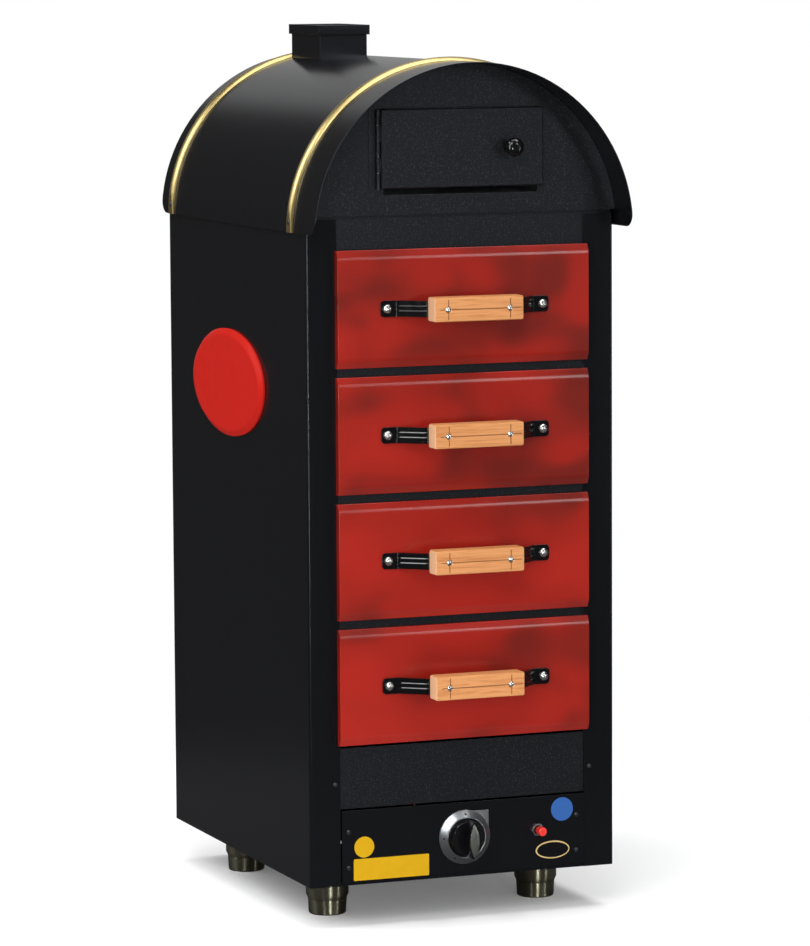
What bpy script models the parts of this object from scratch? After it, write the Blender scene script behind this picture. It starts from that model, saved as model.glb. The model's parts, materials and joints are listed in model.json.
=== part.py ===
"""A four-drawer gas oven for baked potatoes: a sheet-steel casing on four adjustable feet, a barrel
roof with two brass hoops and a flue, a warming door in the front gable, and a gas burner below.

Metres, +Z up. The front faces -Y, the floor is z = 0, and the origin is under the middle of the
whole object.
"""
from math import asin, atan2, cos, pi, radians, sin, sqrt

import bmesh
import bpy
from mathutils import Matrix, Vector

# Sheet and seats
SHEET = 0.0015                  # steel sheet of every folded piece
SEAT = 0.0003                   # gap between pieces that rest on each other
SHARP_ANGLE = radians(30)       # edges that turn further than this stay sharp
OVERRUN = 0.004                 # how far a cutter runs past what it cuts
BEND_RADIUS = 0.003             # outer radius of the casing's folded edges
BEND_STEPS = 4

# Casing, from the side panels inwards
CASING_WIDTH = 0.450
CASING_DEPTH = 0.572
POST_WIDTH = 0.0445             # front flange of each side panel
REAR_RETURN = 0.022             # rear flange of each side panel
PAN_FLANGE = 0.024              # turned-up rim of the base and turned-down rim of the deck
PANEL_LAP = 0.014               # how far the fascia and the access panel reach behind the posts
SEAM_GAP = 0.004                # shadow gap between the casing and the front gable

# Front of the casing, from the bottom up
CONTROL_LIFT = 0.005            # bottom edge of the control panel above the casing's underside
CONTROL_HEIGHT = 0.099
CONTROL_PROUD = 0.0025          # how far the control panel stands before the posts
CONTROL_SIDE_GAP = 0.001
CONTROL_SEAM = 0.002
ACCESS_HEIGHT = 0.084
ACCESS_SEAM = 0.0045
DRAWER_COUNT = 4
DRAWER_PITCH = 0.1715
DRAWER_GAP = 0.012              # between one drawer front and the next
FASCIA_SHOW = 0.0415            # fascia that shows above the top drawer

# Drawer fronts, folded pans of red enamelled steel
FRONT_OVERLAP = 0.0035          # how far a front laps over each post
FRONT_PROUD = 0.012
FRONT_BEVEL_HEIGHT = 0.0105     # sloping band along the top and the bottom edge
FRONT_BEVEL_DEPTH = 0.0045
FRONT_LIP = 0.018               # rim turned in at the back of the pan

# Drawer trays and their runners
CROSSBAR_HEIGHT = 0.026
CROSSBAR_DEPTH = 0.015
TRAY_WALL_INSET = 0.0145        # tray wall inside the edge of the posts
TRAY_FLANGE_INSET = 0.0012      # tray flange inside the edge of the posts
TRAY_FLANGE_DROP = 0.012        # flange below the top edge of the drawer front
TRAY_RIM = 0.0025               # wall that stands above the flange
TRAY_BOTTOM_LIFT = 0.013        # tray floor above the bottom edge of the drawer front
TRAY_REAR_GAP = 0.012           # running gap behind the tray
LEDGE_REACH = 0.0128            # runner ledge, from the rack plate inwards
LEDGE_RISE = 0.0012             # running gap above the tray flange
BACK_LINER_INSET = 0.045        # flue space behind the inner back

# Strap handle and wooden grip
HANDLE_SPAN = 0.246             # over both end pads
PAD_LENGTH = 0.023
LEG_RUN = 0.034                 # sideways run of a sloping leg
LEG_END_SHARE = 0.12            # where the beads start and end, as a share of a leg
STRAP_WIDTH = 0.022
STRAP_THICKNESS = 0.0025
PAD_CORNER_RADIUS = 0.005
PAD_CORNER_STEPS = 3
BEAD_HEIGHT = 0.0011            # pressed beads along each leg
BEAD_WIDTH = 0.003
BEAD_SPACING = 0.0066
BEAD_COUNT = 2
GRIP_STANDOFF = 0.030           # back of the grip before the drawer front
GRIP_LENGTH = 0.130
GRIP_HEIGHT = 0.033
GRIP_DEPTH = 0.024
GRIP_CHAMFER = 0.0028
GRIP_CHAMFER_STEPS = 2
ROUND_PROFILE_SHARE = 0.5       # a bevel of this share is a quarter circle

# Barrel roof and gables
ROOF_SIDE_GAP = 0.0055          # between the casing side and the roof sheet
ROOF_CENTRE_DROP = 0.026        # centre of the arch below the crown deck
ROOF_SKIRT = 0.022              # roof edge below the crown deck
ROOF_FRONT_OVERHANG = 0.055
ROOF_REAR_OVERHANG = 0.013
ROOF_CORNER_RADIUS = 0.022
ROOF_STEPS = 56
CORNER_STEPS = 6
GABLE_FLANGE = 0.020
HOOP_WIDTH = 0.022              # domed brass bar
HOOP_PROUD = 0.0032
HOOP_SECTION_STEPS = 6
FRONT_HOOP_SETBACK = 0.096      # from the roof's front edge
REAR_HOOP_GAP = 0.002           # between the flue and the rear hoop

# Flue
FLUE_WIDTH = 0.072
FLUE_DEPTH = 0.117
FLUE_OFFSET = -0.014            # middle of the flue, to the left of the oven's
FLUE_REAR_INSET = 0.046         # back of the flue, before the back of the casing
FLUE_RISE = 0.043               # rim of the flue above the crown of the roof
FLUE_LEDGE = 0.005              # rim of the deck that carries the duct
FLUE_CLEARANCE = 0.0005         # between the duct and the holes that it passes
COLLAR_HEIGHT = 0.014
COLLAR_WALL = 0.003

# Warming door, its knob, hinge and liner
DOOR_WIDTH = 0.2366
DOOR_LIFT = 0.036               # bottom edge above the crown deck
DOOR_CORNER_DROP = 0.0285       # upper corners below the arch of the gable
DOOR_PROUD = 0.009
DOOR_LAP = 0.006                # over the edge of the opening, at the sides and the top
DOOR_SLOT = 0.009               # open slot that shows under the door
DOOR_EDGE_BEVEL = 0.0015
LINER_RIM = 0.012
HINGE_RADIUS = 0.0032
HINGE_BORE_RADIUS = 0.0016
HINGE_PIN_RADIUS = 0.0013
HINGE_LEAF_WIDTH = 0.012
HINGE_LEAF_THICKNESS = 0.0012
HINGE_KNUCKLES = 5
HINGE_KNUCKLE_GAP = 0.0005
HINGE_STEPS = 12
DOOR_KNOB_INSET = 0.0505        # from the free edge of the door
DOOR_KNOB_RADIUS = 0.0130
DOOR_KNOB_LENGTH = 0.027
DOOR_KNOB_NECK_RADIUS = 0.0055
DOOR_KNOB_FOOT_RADIUS = 0.0085
KNOB_NECK_SHARE = 0.30          # where the neck is slimmest, as a share of the knob's length
KNOB_HEAD_SHARE = 0.45          # where the head starts
KNOB_DOME_STEPS = 9

# Thermostat knob and its bezel
CONTROL_AXIS_LIFT = 0.056       # knob axis above the casing's underside
BEZEL_RADIUS = 0.0375
BEZEL_CORNER = 0.0355           # half width of the square whose corner makes the pointer
BEZEL_PLATE = 0.0018
BEZEL_LIP_RADIUS = 0.0280
BEZEL_BORE_RADIUS = 0.0268
BEZEL_PROUD = 0.009
BEZEL_STEPS = 64
KNOB_SKIRT_RADIUS = 0.0262
KNOB_FACE_RADIUS = 0.0240
KNOB_BODY_LENGTH = 0.010
KNOB_GRIP_LENGTH = 0.0515       # length of the raised bar across the knob
KNOB_GRIP_WIDTH = 0.0145
KNOB_GRIP_RISE = 0.022
KNOB_GRIP_ROUND = 0.0025
KNOB_SKIRT_SHARE = 0.30         # straight skirt, as a share of the knob's body
LENS_STEPS = 10
CREST_SHRINK_SHARE = 0.97       # outline of the bar just under its crest, as a share of its foot
CREST_TIP_SHARE = 0.91
KNOB_STEPS = 40
KNOB_TRAVEL = 0.004
SHAFT_RADIUS = 0.004
SHAFT_FIT = 0.0004              # radial gap round the thermostat shaft
SHAFT_DEPTH_IN_KNOB = 0.010
SHAFT_DEPTH_IN_VALVE = 0.012

# Igniter
IGNITER_OFFSET = 0.109          # to the right of the knob axis
IGNITER_LIFT = 0.058
IGNITER_NUT_RADIUS = 0.0080
IGNITER_NUT_LENGTH = 0.0045
IGNITER_SIDES = 6
NUT_STEPS_PER_FLAT = 4
IGNITER_BODY_RADIUS = 0.0090
IGNITER_BODY_LENGTH = 0.046
IGNITER_STEM_RADIUS = 0.0040
IGNITER_CAP_RADIUS = 0.0063
IGNITER_CAP_LENGTH = 0.012
IGNITER_TRAVEL = 0.005
IGNITER_ROUND = 0.002

# Feet
FOOT_HEIGHT = 0.060             # floor to the casing's underside
FOOT_INSET_SIDE = 0.068
FOOT_INSET_END = 0.118
FOOT_SLEEVE_RADIUS = 0.0298
FOOT_SLEEVE_WALL = 0.0045
FOOT_NECK_HEIGHT = 0.0022       # slimmer neck at the lower end of a sleeve
FOOT_TAPER_HEIGHT = 0.005       # taper above the neck
FOOT_TAPER_DEPTH = 0.0026
FOOT_PAD_RADIUS = 0.0269
FOOT_PAD_HEIGHT = 0.020
FOOT_PAD_TAPER = 0.0008         # how much slimmer the pad is at its foot
FOOT_PAD_CHAMFER = 0.0015
FOOT_CAP = 0.004                # top wall of a sleeve
FOOT_RUNNING_FIT = 0.0004
FOOT_STEPS = 32

# Burner, valve and gas pipes inside the base
HEAT_DECK_EDGE_GAP = 0.004
HEAT_DECK_SLOT_LENGTH = 0.300
HEAT_DECK_SLOT_WIDTH = 0.016
HEAT_DECK_SLOT_COUNT = 4
BURNER_RADIUS = 0.014
BURNER_SPREAD = 0.120           # between the two legs of the hairpin
BURNER_LIFT = 0.118             # centre line above the casing's underside
BURNER_FRONT_GAP = 0.095
BURNER_LENGTH = 0.380
BURNER_SIDES = 12
BURNER_BEND_STEPS = 10
HAIRPIN_BEND_SHARE = 0.9        # bend radius of the hairpin, as a share of half its spread
BURNER_STAND_WIDTH = 0.018
STAND_SHARES = (0.12, 0.80)     # where the stands are, as shares of the burner's length
VALVE_WIDTH = 0.044
VALVE_HEIGHT = 0.050
VALVE_DEPTH = 0.046
VALVE_NECK_RADIUS = 0.012
VALVE_NECK_LENGTH = 0.008
PIPE_RADIUS = 0.005
PIPE_BEND = 0.022
PIPE_SETBACK = 0.045            # supply pipe's cross run, behind the valve
PIPE_SIDES = 8
PIPE_BEND_STEPS = 6
INLET_RADIUS = 0.0105           # threaded inlet behind the oven
INLET_BORE_RADIUS = 0.0075
INLET_REACH = 0.025
INLET_LENGTH = 0.060
INLET_OFFSET = 0.120
INLET_LIFT = 0.060
INLET_STEPS = 24
INLET_FLOOR_SHARE = 0.3         # where the inlet's bore ends
VENT_SLOT_LENGTH = 0.180
VENT_SLOT_WIDTH = 0.010
VENT_SLOT_COUNT = 5
VENT_SLOT_PITCH = 0.035

# Places that follow from the sizes
HALF_WIDTH = CASING_WIDTH / 2
OPENING_HALF = HALF_WIDTH - POST_WIDTH
HANDLE_REACH = FRONT_PROUD + GRIP_STANDOFF + GRIP_DEPTH
FRONT_REACH = max(HANDLE_REACH, ROOF_FRONT_OVERHANG)
REAR_REACH = max(INLET_REACH, ROOF_REAR_OVERHANG)
FRONT_Y = -(CASING_DEPTH + REAR_REACH - FRONT_REACH) / 2
BACK_Y = FRONT_Y + CASING_DEPTH
BEHIND_POSTS_Y = FRONT_Y + SHEET + SEAT
BEHIND_PANELS_Y = BEHIND_POSTS_Y + SHEET + SEAT
BACK_PANEL_Y = BACK_Y - SHEET - SEAT - SHEET
INNER_REAR_Y = BACK_PANEL_Y - SEAT
LINER_BACK_Y = BACK_Y - BACK_LINER_INSET
BASE_Z = FOOT_HEIGHT
CONTROL_LOW_Z = BASE_Z + CONTROL_LIFT
CONTROL_TOP_Z = CONTROL_LOW_Z + CONTROL_HEIGHT
ACCESS_LOW_Z = CONTROL_TOP_Z + CONTROL_SEAM
ACCESS_TOP_Z = ACCESS_LOW_Z + ACCESS_HEIGHT
DRAWERS_LOW_Z = ACCESS_TOP_Z + ACCESS_SEAM
DRAWER_FRONT_HEIGHT = DRAWER_PITCH - DRAWER_GAP
DRAWERS_TOP_Z = DRAWERS_LOW_Z + DRAWER_COUNT * DRAWER_PITCH - DRAWER_GAP
PANEL_TOP_Z = DRAWERS_TOP_Z + FASCIA_SHOW
DECK_Z = PANEL_TOP_Z + SEAM_GAP
RACK_X = OPENING_HALF + SEAT + SEAT
ROOF_CENTRE_Z = DECK_Z - ROOF_CENTRE_DROP
ROOF_INNER_RADIUS = HALF_WIDTH + ROOF_SIDE_GAP
ROOF_OUTER_RADIUS = ROOF_INNER_RADIUS + SHEET
ROOF_LOW_Z = DECK_Z - ROOF_SKIRT
GABLE_RADIUS = ROOF_INNER_RADIUS - SEAT
GABLE_LOW_Z = DECK_Z + SEAT
FLUE_TOP_Z = ROOF_CENTRE_Z + ROOF_OUTER_RADIUS + FLUE_RISE
FLUE_BACK_Y = BACK_Y - FLUE_REAR_INSET
FLUE_FRONT_Y = FLUE_BACK_Y - FLUE_DEPTH
FLUE_LEFT_X = FLUE_OFFSET - FLUE_WIDTH / 2
FLUE_RIGHT_X = FLUE_OFFSET + FLUE_WIDTH / 2
DOOR_LOW_Z = DECK_Z + DOOR_LIFT
DOOR_TOP_Z = ROOF_CENTRE_Z + sqrt(GABLE_RADIUS ** 2 - (DOOR_WIDTH / 2) ** 2) - DOOR_CORNER_DROP
DOOR_HEIGHT = DOOR_TOP_Z - DOOR_LOW_Z
HINGE_X = -DOOR_WIDTH / 2 - SEAT - HINGE_RADIUS
HINGE_Y = FRONT_Y - HINGE_LEAF_THICKNESS - SEAT - HINGE_RADIUS
CONTROL_FACE_Y = FRONT_Y - CONTROL_PROUD
CONTROL_AXIS_Z = BASE_Z + CONTROL_AXIS_LIFT

# Colours (linear), roughness and metallic value of each finish
FINISHES = {
    "black powder coat": ((0.012, 0.012, 0.014), 0.45, 0.0),
    "red enamel": ((0.38, 0.022, 0.014), 0.18, 0.0),
    "galvanised steel": ((0.42, 0.43, 0.44), 0.42, 1.0),
    "polished brass": ((0.70, 0.48, 0.12), 0.22, 1.0),
    "black enamelled strap": ((0.010, 0.010, 0.012), 0.25, 0.0),
    "beech": ((0.66, 0.36, 0.15), 0.45, 0.0),
    "chrome": ((0.66, 0.67, 0.68), 0.10, 1.0),
    "bronzed chrome": ((0.33, 0.31, 0.25), 0.20, 1.0),
    "black phenolic": ((0.008, 0.008, 0.009), 0.15, 0.0),
    "red plastic": ((0.72, 0.03, 0.02), 0.30, 0.0),
    "cast aluminium": ((0.45, 0.45, 0.46), 0.50, 1.0),
    "copper pipe": ((0.60, 0.28, 0.16), 0.30, 1.0),
}


# Shapes

def in_plan(height):
    """Place an outline's points in a level plane."""
    return lambda a, b: Vector((a, b, height))


def facing(depth):
    """Place an outline's points in an upright plane that faces the front."""
    return lambda a, b: Vector((a, depth, b))


def sideways(offset):
    """Place an outline's points in an upright plane that faces the side."""
    return lambda a, b: Vector((offset, a, b))


def ring(place, outline):
    return [place(a, b) for a, b in outline]


def rectangle(low_a, low_b, high_a, high_b):
    return [(low_a, low_b), (high_a, low_b), (high_a, high_b), (low_a, high_b)]


def circle(radius, steps, centre=(0, 0)):
    turns = [2 * pi * step / steps for step in range(steps)]
    return [(centre[0] + radius * cos(turn), centre[1] + radius * sin(turn)) for turn in turns]


def arch(radius, centre_height, low_height, steps):
    """Points over the top of an arch, from its right foot to its left one."""
    foot = asin(max(low_height - centre_height, 0) / radius)
    turns = [foot + (pi - 2 * foot) * step / steps for step in range(steps + 1)]
    points = [(radius * cos(turn), centre_height + radius * sin(turn)) for turn in turns]
    if low_height < centre_height:
        points = [(radius, low_height)] + points + [(-radius, low_height)]
    return points


def rounded(outline, corners, radius, steps):
    """The outline with the numbered corners rounded off."""
    points = []
    for index, corner in enumerate(outline):
        if index not in corners:
            points.append(corner)
            continue
        here = Vector(corner)
        before = (Vector(outline[index - 1]) - here).normalized()
        after = (Vector(outline[(index + 1) % len(outline)]) - here).normalized()
        half = before.angle(after) / 2
        reach = radius / sin(half)
        centre = here + (before + after).normalized() * reach
        start = here + before * sqrt(reach * reach - radius * radius) - centre
        end = here + after * sqrt(reach * reach - radius * radius) - centre
        first = atan2(start.y, start.x)
        sweep = (atan2(end.y, end.x) - first + pi) % (2 * pi) - pi
        for step in range(steps + 1):
            turn = first + sweep * step / steps
            points.append((centre.x + radius * cos(turn), centre.y + radius * sin(turn)))
    return points


def loft(mesh, rings, closed=False):
    """Skin a row of rings. An open row is capped at both ends, a closed one joins up."""
    rows = [[mesh.verts.new(point) for point in points] for points in rings]
    pairs = list(zip(rows, rows[1:]))
    if closed:
        pairs.append((rows[-1], rows[0]))
    else:
        mesh.faces.new(rows[0])
        mesh.faces.new(rows[-1])
    for near, far in pairs:
        count = len(near)
        for index in range(count):
            after = (index + 1) % count
            mesh.faces.new((near[index], near[after], far[after], far[index]))


def prism(mesh, outline, near, far):
    loft(mesh, [ring(near, outline), ring(far, outline)])


def block(mesh, low, high):
    prism(mesh, rectangle(low[0], low[1], high[0], high[1]), in_plan(low[2]), in_plan(high[2]))


def turned(mesh, profile, steps, closed=False):
    """Turn a profile of (radius, height) about Z."""
    loft(mesh, [ring(in_plan(height), circle(radius, steps)) for radius, height in profile], closed)


def tube(mesh, path, radius, sides):
    """A round bar along a path, its section kept square to the path."""
    rings = []
    side = None
    for index, point in enumerate(path):
        before = path[max(index - 1, 0)]
        after = path[min(index + 1, len(path) - 1)]
        along = (after - before).normalized()
        if side is None:
            side = along.orthogonal().normalized()
        side = (side - along * side.dot(along)).normalized()
        up = along.cross(side)
        rings.append([point + side * a + up * b for a, b in circle(radius, sides)])
    loft(mesh, rings)


def bent_path(corners, radius, steps):
    """Straight runs between the corners, joined by arcs."""
    points = [corners[0]]
    for before, corner, after in zip(corners, corners[1:], corners[2:]):
        back = (before - corner).normalized()
        ahead = (after - corner).normalized()
        half = back.angle(ahead) / 2
        centre = corner + (back + ahead).normalized() * (radius / sin(half))
        reach = radius * cos(half) / sin(half)
        start = corner + back * reach - centre
        end = corner + ahead * reach - centre
        sweep = start.angle(end)
        for step in range(steps + 1):
            share = step / steps
            spoke = start * sin((1 - share) * sweep) + end * sin(share * sweep)
            points.append(centre + spoke / sin(sweep))
    return points + [corners[-1]]


# Objects

def clear_scene():
    for item in list(bpy.data.objects):
        bpy.data.objects.remove(item, do_unlink=True)


def finish_material(name):
    known = bpy.data.materials.get(name)
    if known:
        return known
    colour, roughness, metallic = FINISHES[name]
    material = bpy.data.materials.new(name)
    material.use_nodes = True
    shader = material.node_tree.nodes["Principled BSDF"]
    shader.inputs["Base Color"].default_value = (*colour, 1)
    shader.inputs["Roughness"].default_value = roughness
    shader.inputs["Metallic"].default_value = metallic
    material.diffuse_color = (*colour, 1)
    return material


def solid(name, finish, shape, *sizes):
    """An object whose mesh the shape function fills in."""
    mesh = bmesh.new()
    shape(mesh, *sizes)
    bmesh.ops.recalc_face_normals(mesh, faces=mesh.faces)
    data = bpy.data.meshes.new(name)
    mesh.to_mesh(data)
    mesh.free()
    item = bpy.data.objects.new(name, data)
    bpy.context.scene.collection.objects.link(item)
    dress(item, finish)
    return item


def dress(item, finish):
    item.data.materials.clear()
    item.data.materials.append(finish_material(finish))
    item.data.shade_smooth()
    item.data.set_sharp_from_angle(angle=SHARP_ANGLE)


def combine(item, finish, operation, *tools):
    """Add the tools to the object, or cut them from it, and keep the result as its mesh."""
    for tool in tools:
        step = item.modifiers.new(operation.lower(), "BOOLEAN")
        step.operation = operation
        step.solver = "EXACT"
        step.object = tool
    graph = bpy.context.evaluated_depsgraph_get()
    data = bpy.data.meshes.new_from_object(item.evaluated_get(graph))
    item.modifiers.clear()
    item.data = data
    for tool in tools:
        bpy.data.objects.remove(tool, do_unlink=True)
    dress(item, finish)
    return item


def cutter(shape, *sizes):
    return solid("cutter", "black powder coat", shape, *sizes)


def turn_to_front(item, centre):
    """Point an object that was turned about +Z at the front, with its foot at the centre."""
    item.data.transform(Matrix.Translation(centre) @ Matrix.Rotation(pi / 2, 4, "X"))
    return item


def set_origin(item, point):
    item.data.transform(Matrix.Translation(-point))
    item.location = point
    return item


# Casing

def side_panel_shape(mesh, side):
    outer, inner = side * HALF_WIDTH, side * (HALF_WIDTH - SHEET)
    post = side * OPENING_HALF
    rear = side * (HALF_WIDTH - REAR_RETURN)
    outline = [(outer, FRONT_Y), (post, FRONT_Y), (post, FRONT_Y + SHEET), (inner, FRONT_Y + SHEET),
               (inner, BACK_Y - SHEET), (rear, BACK_Y - SHEET), (rear, BACK_Y), (outer, BACK_Y)]
    outline = rounded(outline, (0, 7), BEND_RADIUS, BEND_STEPS)
    outline = rounded(outline, (7, 8), BEND_RADIUS - SHEET, BEND_STEPS)
    prism(mesh, outline, in_plan(BASE_Z), in_plan(PANEL_TOP_Z))


def pan_shape(mesh, half_width, front, back, flat_z, rim_z):
    """A tray of sheet whose flat lies at flat_z and whose rims end at rim_z."""
    up = 1 if rim_z > flat_z else -1
    outer = rectangle(-half_width, front, half_width, back)
    inner = rectangle(SHEET - half_width, front + SHEET, half_width - SHEET, back - SHEET)
    loft(mesh, [ring(in_plan(flat_z), outer), ring(in_plan(rim_z), outer),
                ring(in_plan(rim_z), inner), ring(in_plan(flat_z + up * SHEET), inner)])


def slot_row_shape(mesh, count, pitch, length, width, middle_y, low_z, high_z):
    """Cutters for a row of slots that run from front to back."""
    for index in range(count):
        middle = (index - (count - 1) / 2) * pitch
        outline = rectangle(middle - width / 2, middle_y - length / 2,
                            middle + width / 2, middle_y + length / 2)
        prism(mesh, outline, in_plan(low_z), in_plan(high_z))


def make_casing():
    for name, side in (("left_side_panel", -1), ("right_side_panel", 1)):
        solid(name, "black powder coat", side_panel_shape, side)
    inside = HALF_WIDTH - BEND_RADIUS - SEAT
    back = solid("back_panel", "black powder coat", block, (-inside, BACK_PANEL_Y, BASE_Z),
                 (inside, BACK_PANEL_Y + SHEET, PANEL_TOP_Z))
    hole = turn_to_front(cutter(turned, [(INLET_RADIUS + SEAT, 0), (INLET_RADIUS + SEAT,
                         SHEET + 2 * OVERRUN)], INLET_STEPS),
                         Vector((INLET_OFFSET, BACK_PANEL_Y + SHEET + OVERRUN, BASE_Z + INLET_LIFT)))
    combine(back, "black powder coat", "DIFFERENCE", hole)
    base = solid("base_pan", "black powder coat", pan_shape, inside, BEHIND_POSTS_Y, INNER_REAR_Y,
                 BASE_Z, BASE_Z + PAN_FLANGE)
    slots = cutter(slot_row_shape, VENT_SLOT_COUNT, VENT_SLOT_PITCH, VENT_SLOT_LENGTH,
                   VENT_SLOT_WIDTH, (FRONT_Y + BACK_Y) / 2, BASE_Z - OVERRUN, BASE_Z + OVERRUN)
    combine(base, "black powder coat", "DIFFERENCE", slots)
    deck = solid("crown_deck", "black powder coat", pan_shape, inside, BEHIND_PANELS_Y, INNER_REAR_Y,
                 DECK_Z, DECK_Z - PAN_FLANGE)
    bore = cutter(block, (FLUE_LEFT_X + FLUE_LEDGE, FLUE_FRONT_Y + FLUE_LEDGE, DECK_Z - OVERRUN),
                  (FLUE_RIGHT_X - FLUE_LEDGE, FLUE_BACK_Y - FLUE_LEDGE, DECK_Z + OVERRUN))
    combine(deck, "black powder coat", "DIFFERENCE", bore)
    lap = OPENING_HALF + PANEL_LAP
    fascia_low = DRAWERS_TOP_Z + DRAWER_GAP / 2 - CROSSBAR_HEIGHT / 2
    solid("top_fascia", "black powder coat", block, (-lap, BEHIND_POSTS_Y, fascia_low),
          (lap, BEHIND_POSTS_Y + SHEET, PANEL_TOP_Z))
    solid("access_panel", "black powder coat", block, (-lap, BEHIND_POSTS_Y, ACCESS_LOW_Z),
          (lap, BEHIND_POSTS_Y + SHEET, ACCESS_TOP_Z))
    for index in range(1, DRAWER_COUNT):
        middle = DRAWERS_TOP_Z + DRAWER_GAP / 2 - index * DRAWER_PITCH
        solid(f"crossbar_{index}", "black powder coat", crossbar_shape, middle)


def crossbar_shape(mesh, middle):
    """A channel that opens to the back, between the two runner racks."""
    low, high = middle - CROSSBAR_HEIGHT / 2, middle + CROSSBAR_HEIGHT / 2
    front, rear = BEHIND_POSTS_Y, BEHIND_POSTS_Y + CROSSBAR_DEPTH
    outline = [(front, low), (rear, low), (rear, low + SHEET), (front + SHEET, low + SHEET),
               (front + SHEET, high - SHEET), (rear, high - SHEET), (rear, high), (front, high)]
    reach = RACK_X - SEAT
    prism(mesh, outline, sideways(-reach), sideways(reach))


def control_panel_shape(mesh):
    half = OPENING_HALF - CONTROL_SIDE_GAP
    outer = rectangle(-half, CONTROL_LOW_Z, half, CONTROL_TOP_Z)
    inner = rectangle(SHEET - half, CONTROL_LOW_Z + SHEET, half - SHEET, CONTROL_TOP_Z - SHEET)
    rear = FRONT_Y + SHEET
    loft(mesh, [ring(facing(CONTROL_FACE_Y), outer), ring(facing(rear), outer),
                ring(facing(rear), inner), ring(facing(CONTROL_FACE_Y + SHEET), inner)])


def make_control_panel():
    panel = solid("control_panel", "black powder coat", control_panel_shape)
    length = CONTROL_PROUD + SHEET + 2 * OVERRUN
    holes = []
    for offset, height, radius in ((0, CONTROL_AXIS_Z, VALVE_NECK_RADIUS + SEAT),
                                   (IGNITER_OFFSET, BASE_Z + IGNITER_LIFT, igniter_hole_radius())):
        hole = cutter(turned, [(radius, 0), (radius, length)], FOOT_STEPS)
        holes.append(turn_to_front(hole, Vector((offset, FRONT_Y + SHEET + OVERRUN, height))))
    combine(panel, "black powder coat", "DIFFERENCE", *holes)


# Runner racks and the linings round the drawers

def drawer_middle(index):
    """Height of the middle of a drawer front, counted from the top drawer."""
    return DRAWERS_TOP_Z - index * DRAWER_PITCH - DRAWER_FRONT_HEIGHT / 2


def flange_top(index):
    return drawer_middle(index) + DRAWER_FRONT_HEIGHT / 2 - TRAY_FLANGE_DROP


def rack_shape(mesh, side):
    """An upright plate with a C-shaped runner for each drawer, drawn as one outline."""
    plate, back, tip = RACK_X, RACK_X + SHEET, RACK_X - LEDGE_REACH
    low = DRAWERS_LOW_Z
    high = DRAWERS_TOP_Z + DRAWER_GAP / 2 - CROSSBAR_HEIGHT / 2 - SEAT
    outline = [(back, high), (back, low), (plate, low)]
    for index in reversed(range(DRAWER_COUNT)):
        seat = flange_top(index) - SHEET - SEAT
        roof = flange_top(index) + LEDGE_RISE
        outline += [(plate, seat - SHEET), (tip, seat - SHEET), (tip, seat), (plate, seat),
                    (plate, roof), (tip, roof), (tip, roof + SHEET), (plate, roof + SHEET)]
    outline.append((plate, high))
    outline = [(side * a, b) for a, b in outline]
    prism(mesh, outline, facing(BEHIND_POSTS_Y), facing(LINER_BACK_Y - SEAT))


def make_linings():
    for name, side in (("left_runner_rack", -1), ("right_runner_rack", 1)):
        solid(name, "galvanised steel", rack_shape, side)
    lap = OPENING_HALF + PANEL_LAP
    solid("back_liner", "galvanised steel", block, (-lap, LINER_BACK_Y, DRAWERS_LOW_Z),
          (lap, LINER_BACK_Y + SHEET, PANEL_TOP_Z - PAN_FLANGE - SEAT))
    deck_z = DRAWERS_LOW_Z - SEAT - SHEET
    deck = solid("heat_deck", "galvanised steel", block,
                 (-lap, BEHIND_PANELS_Y, deck_z), (lap, LINER_BACK_Y - HEAT_DECK_EDGE_GAP,
                                                   deck_z + SHEET))
    pitch = BURNER_SPREAD / 2
    slots = cutter(slot_row_shape, HEAT_DECK_SLOT_COUNT, pitch, HEAT_DECK_SLOT_LENGTH,
                   HEAT_DECK_SLOT_WIDTH, (BEHIND_PANELS_Y + LINER_BACK_Y) / 2,
                   deck_z - OVERRUN, deck_z + OVERRUN)
    combine(deck, "galvanised steel", "DIFFERENCE", slots)


# Drawers, drawn about the middle of the drawer front in the plane of the posts

def drawer_front_shape(mesh):
    """A folded pan: a flat face, sloping bands above and below, and a rim turned in behind."""
    half = OPENING_HALF + FRONT_OVERLAP
    tall = DRAWER_FRONT_HEIGHT / 2
    face, shoulder = -FRONT_PROUD, -FRONT_PROUD + FRONT_BEVEL_DEPTH
    rear = -SEAT

    def band(inset_a, inset_b):
        return rectangle(inset_a - half, inset_b - tall, half - inset_a, tall - inset_b)

    loft(mesh, [ring(facing(face), band(0, FRONT_BEVEL_HEIGHT)),
                ring(facing(shoulder), band(0, 0)),
                ring(facing(rear), band(0, 0)),
                ring(facing(rear), band(FRONT_LIP, FRONT_LIP)),
                ring(facing(rear - SHEET), band(FRONT_LIP, FRONT_LIP)),
                ring(facing(rear - SHEET), band(SHEET, SHEET)),
                ring(facing(shoulder + SHEET), band(SHEET, SHEET)),
                ring(facing(face + SHEET), band(SHEET, FRONT_BEVEL_HEIGHT + SHEET))])


def tray_extent():
    """Half width, front, back, floor and rim of a tray, about the middle of its front."""
    half = OPENING_HALF - TRAY_WALL_INSET
    back = LINER_BACK_Y - FRONT_Y - TRAY_REAR_GAP
    floor = TRAY_BOTTOM_LIFT - DRAWER_FRONT_HEIGHT / 2
    rim = DRAWER_FRONT_HEIGHT / 2 - TRAY_FLANGE_DROP + TRAY_RIM
    return half, 0, back, floor, rim


def tray_shape(mesh):
    half, front, back, floor, rim = tray_extent()
    outer = rectangle(-half, front, half, back)
    inner = rectangle(SHEET - half, front + SHEET, half - SHEET, back - SHEET)
    loft(mesh, [ring(in_plan(floor), outer), ring(in_plan(rim), outer),
                ring(in_plan(rim), inner), ring(in_plan(floor + SHEET), inner)])


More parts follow.
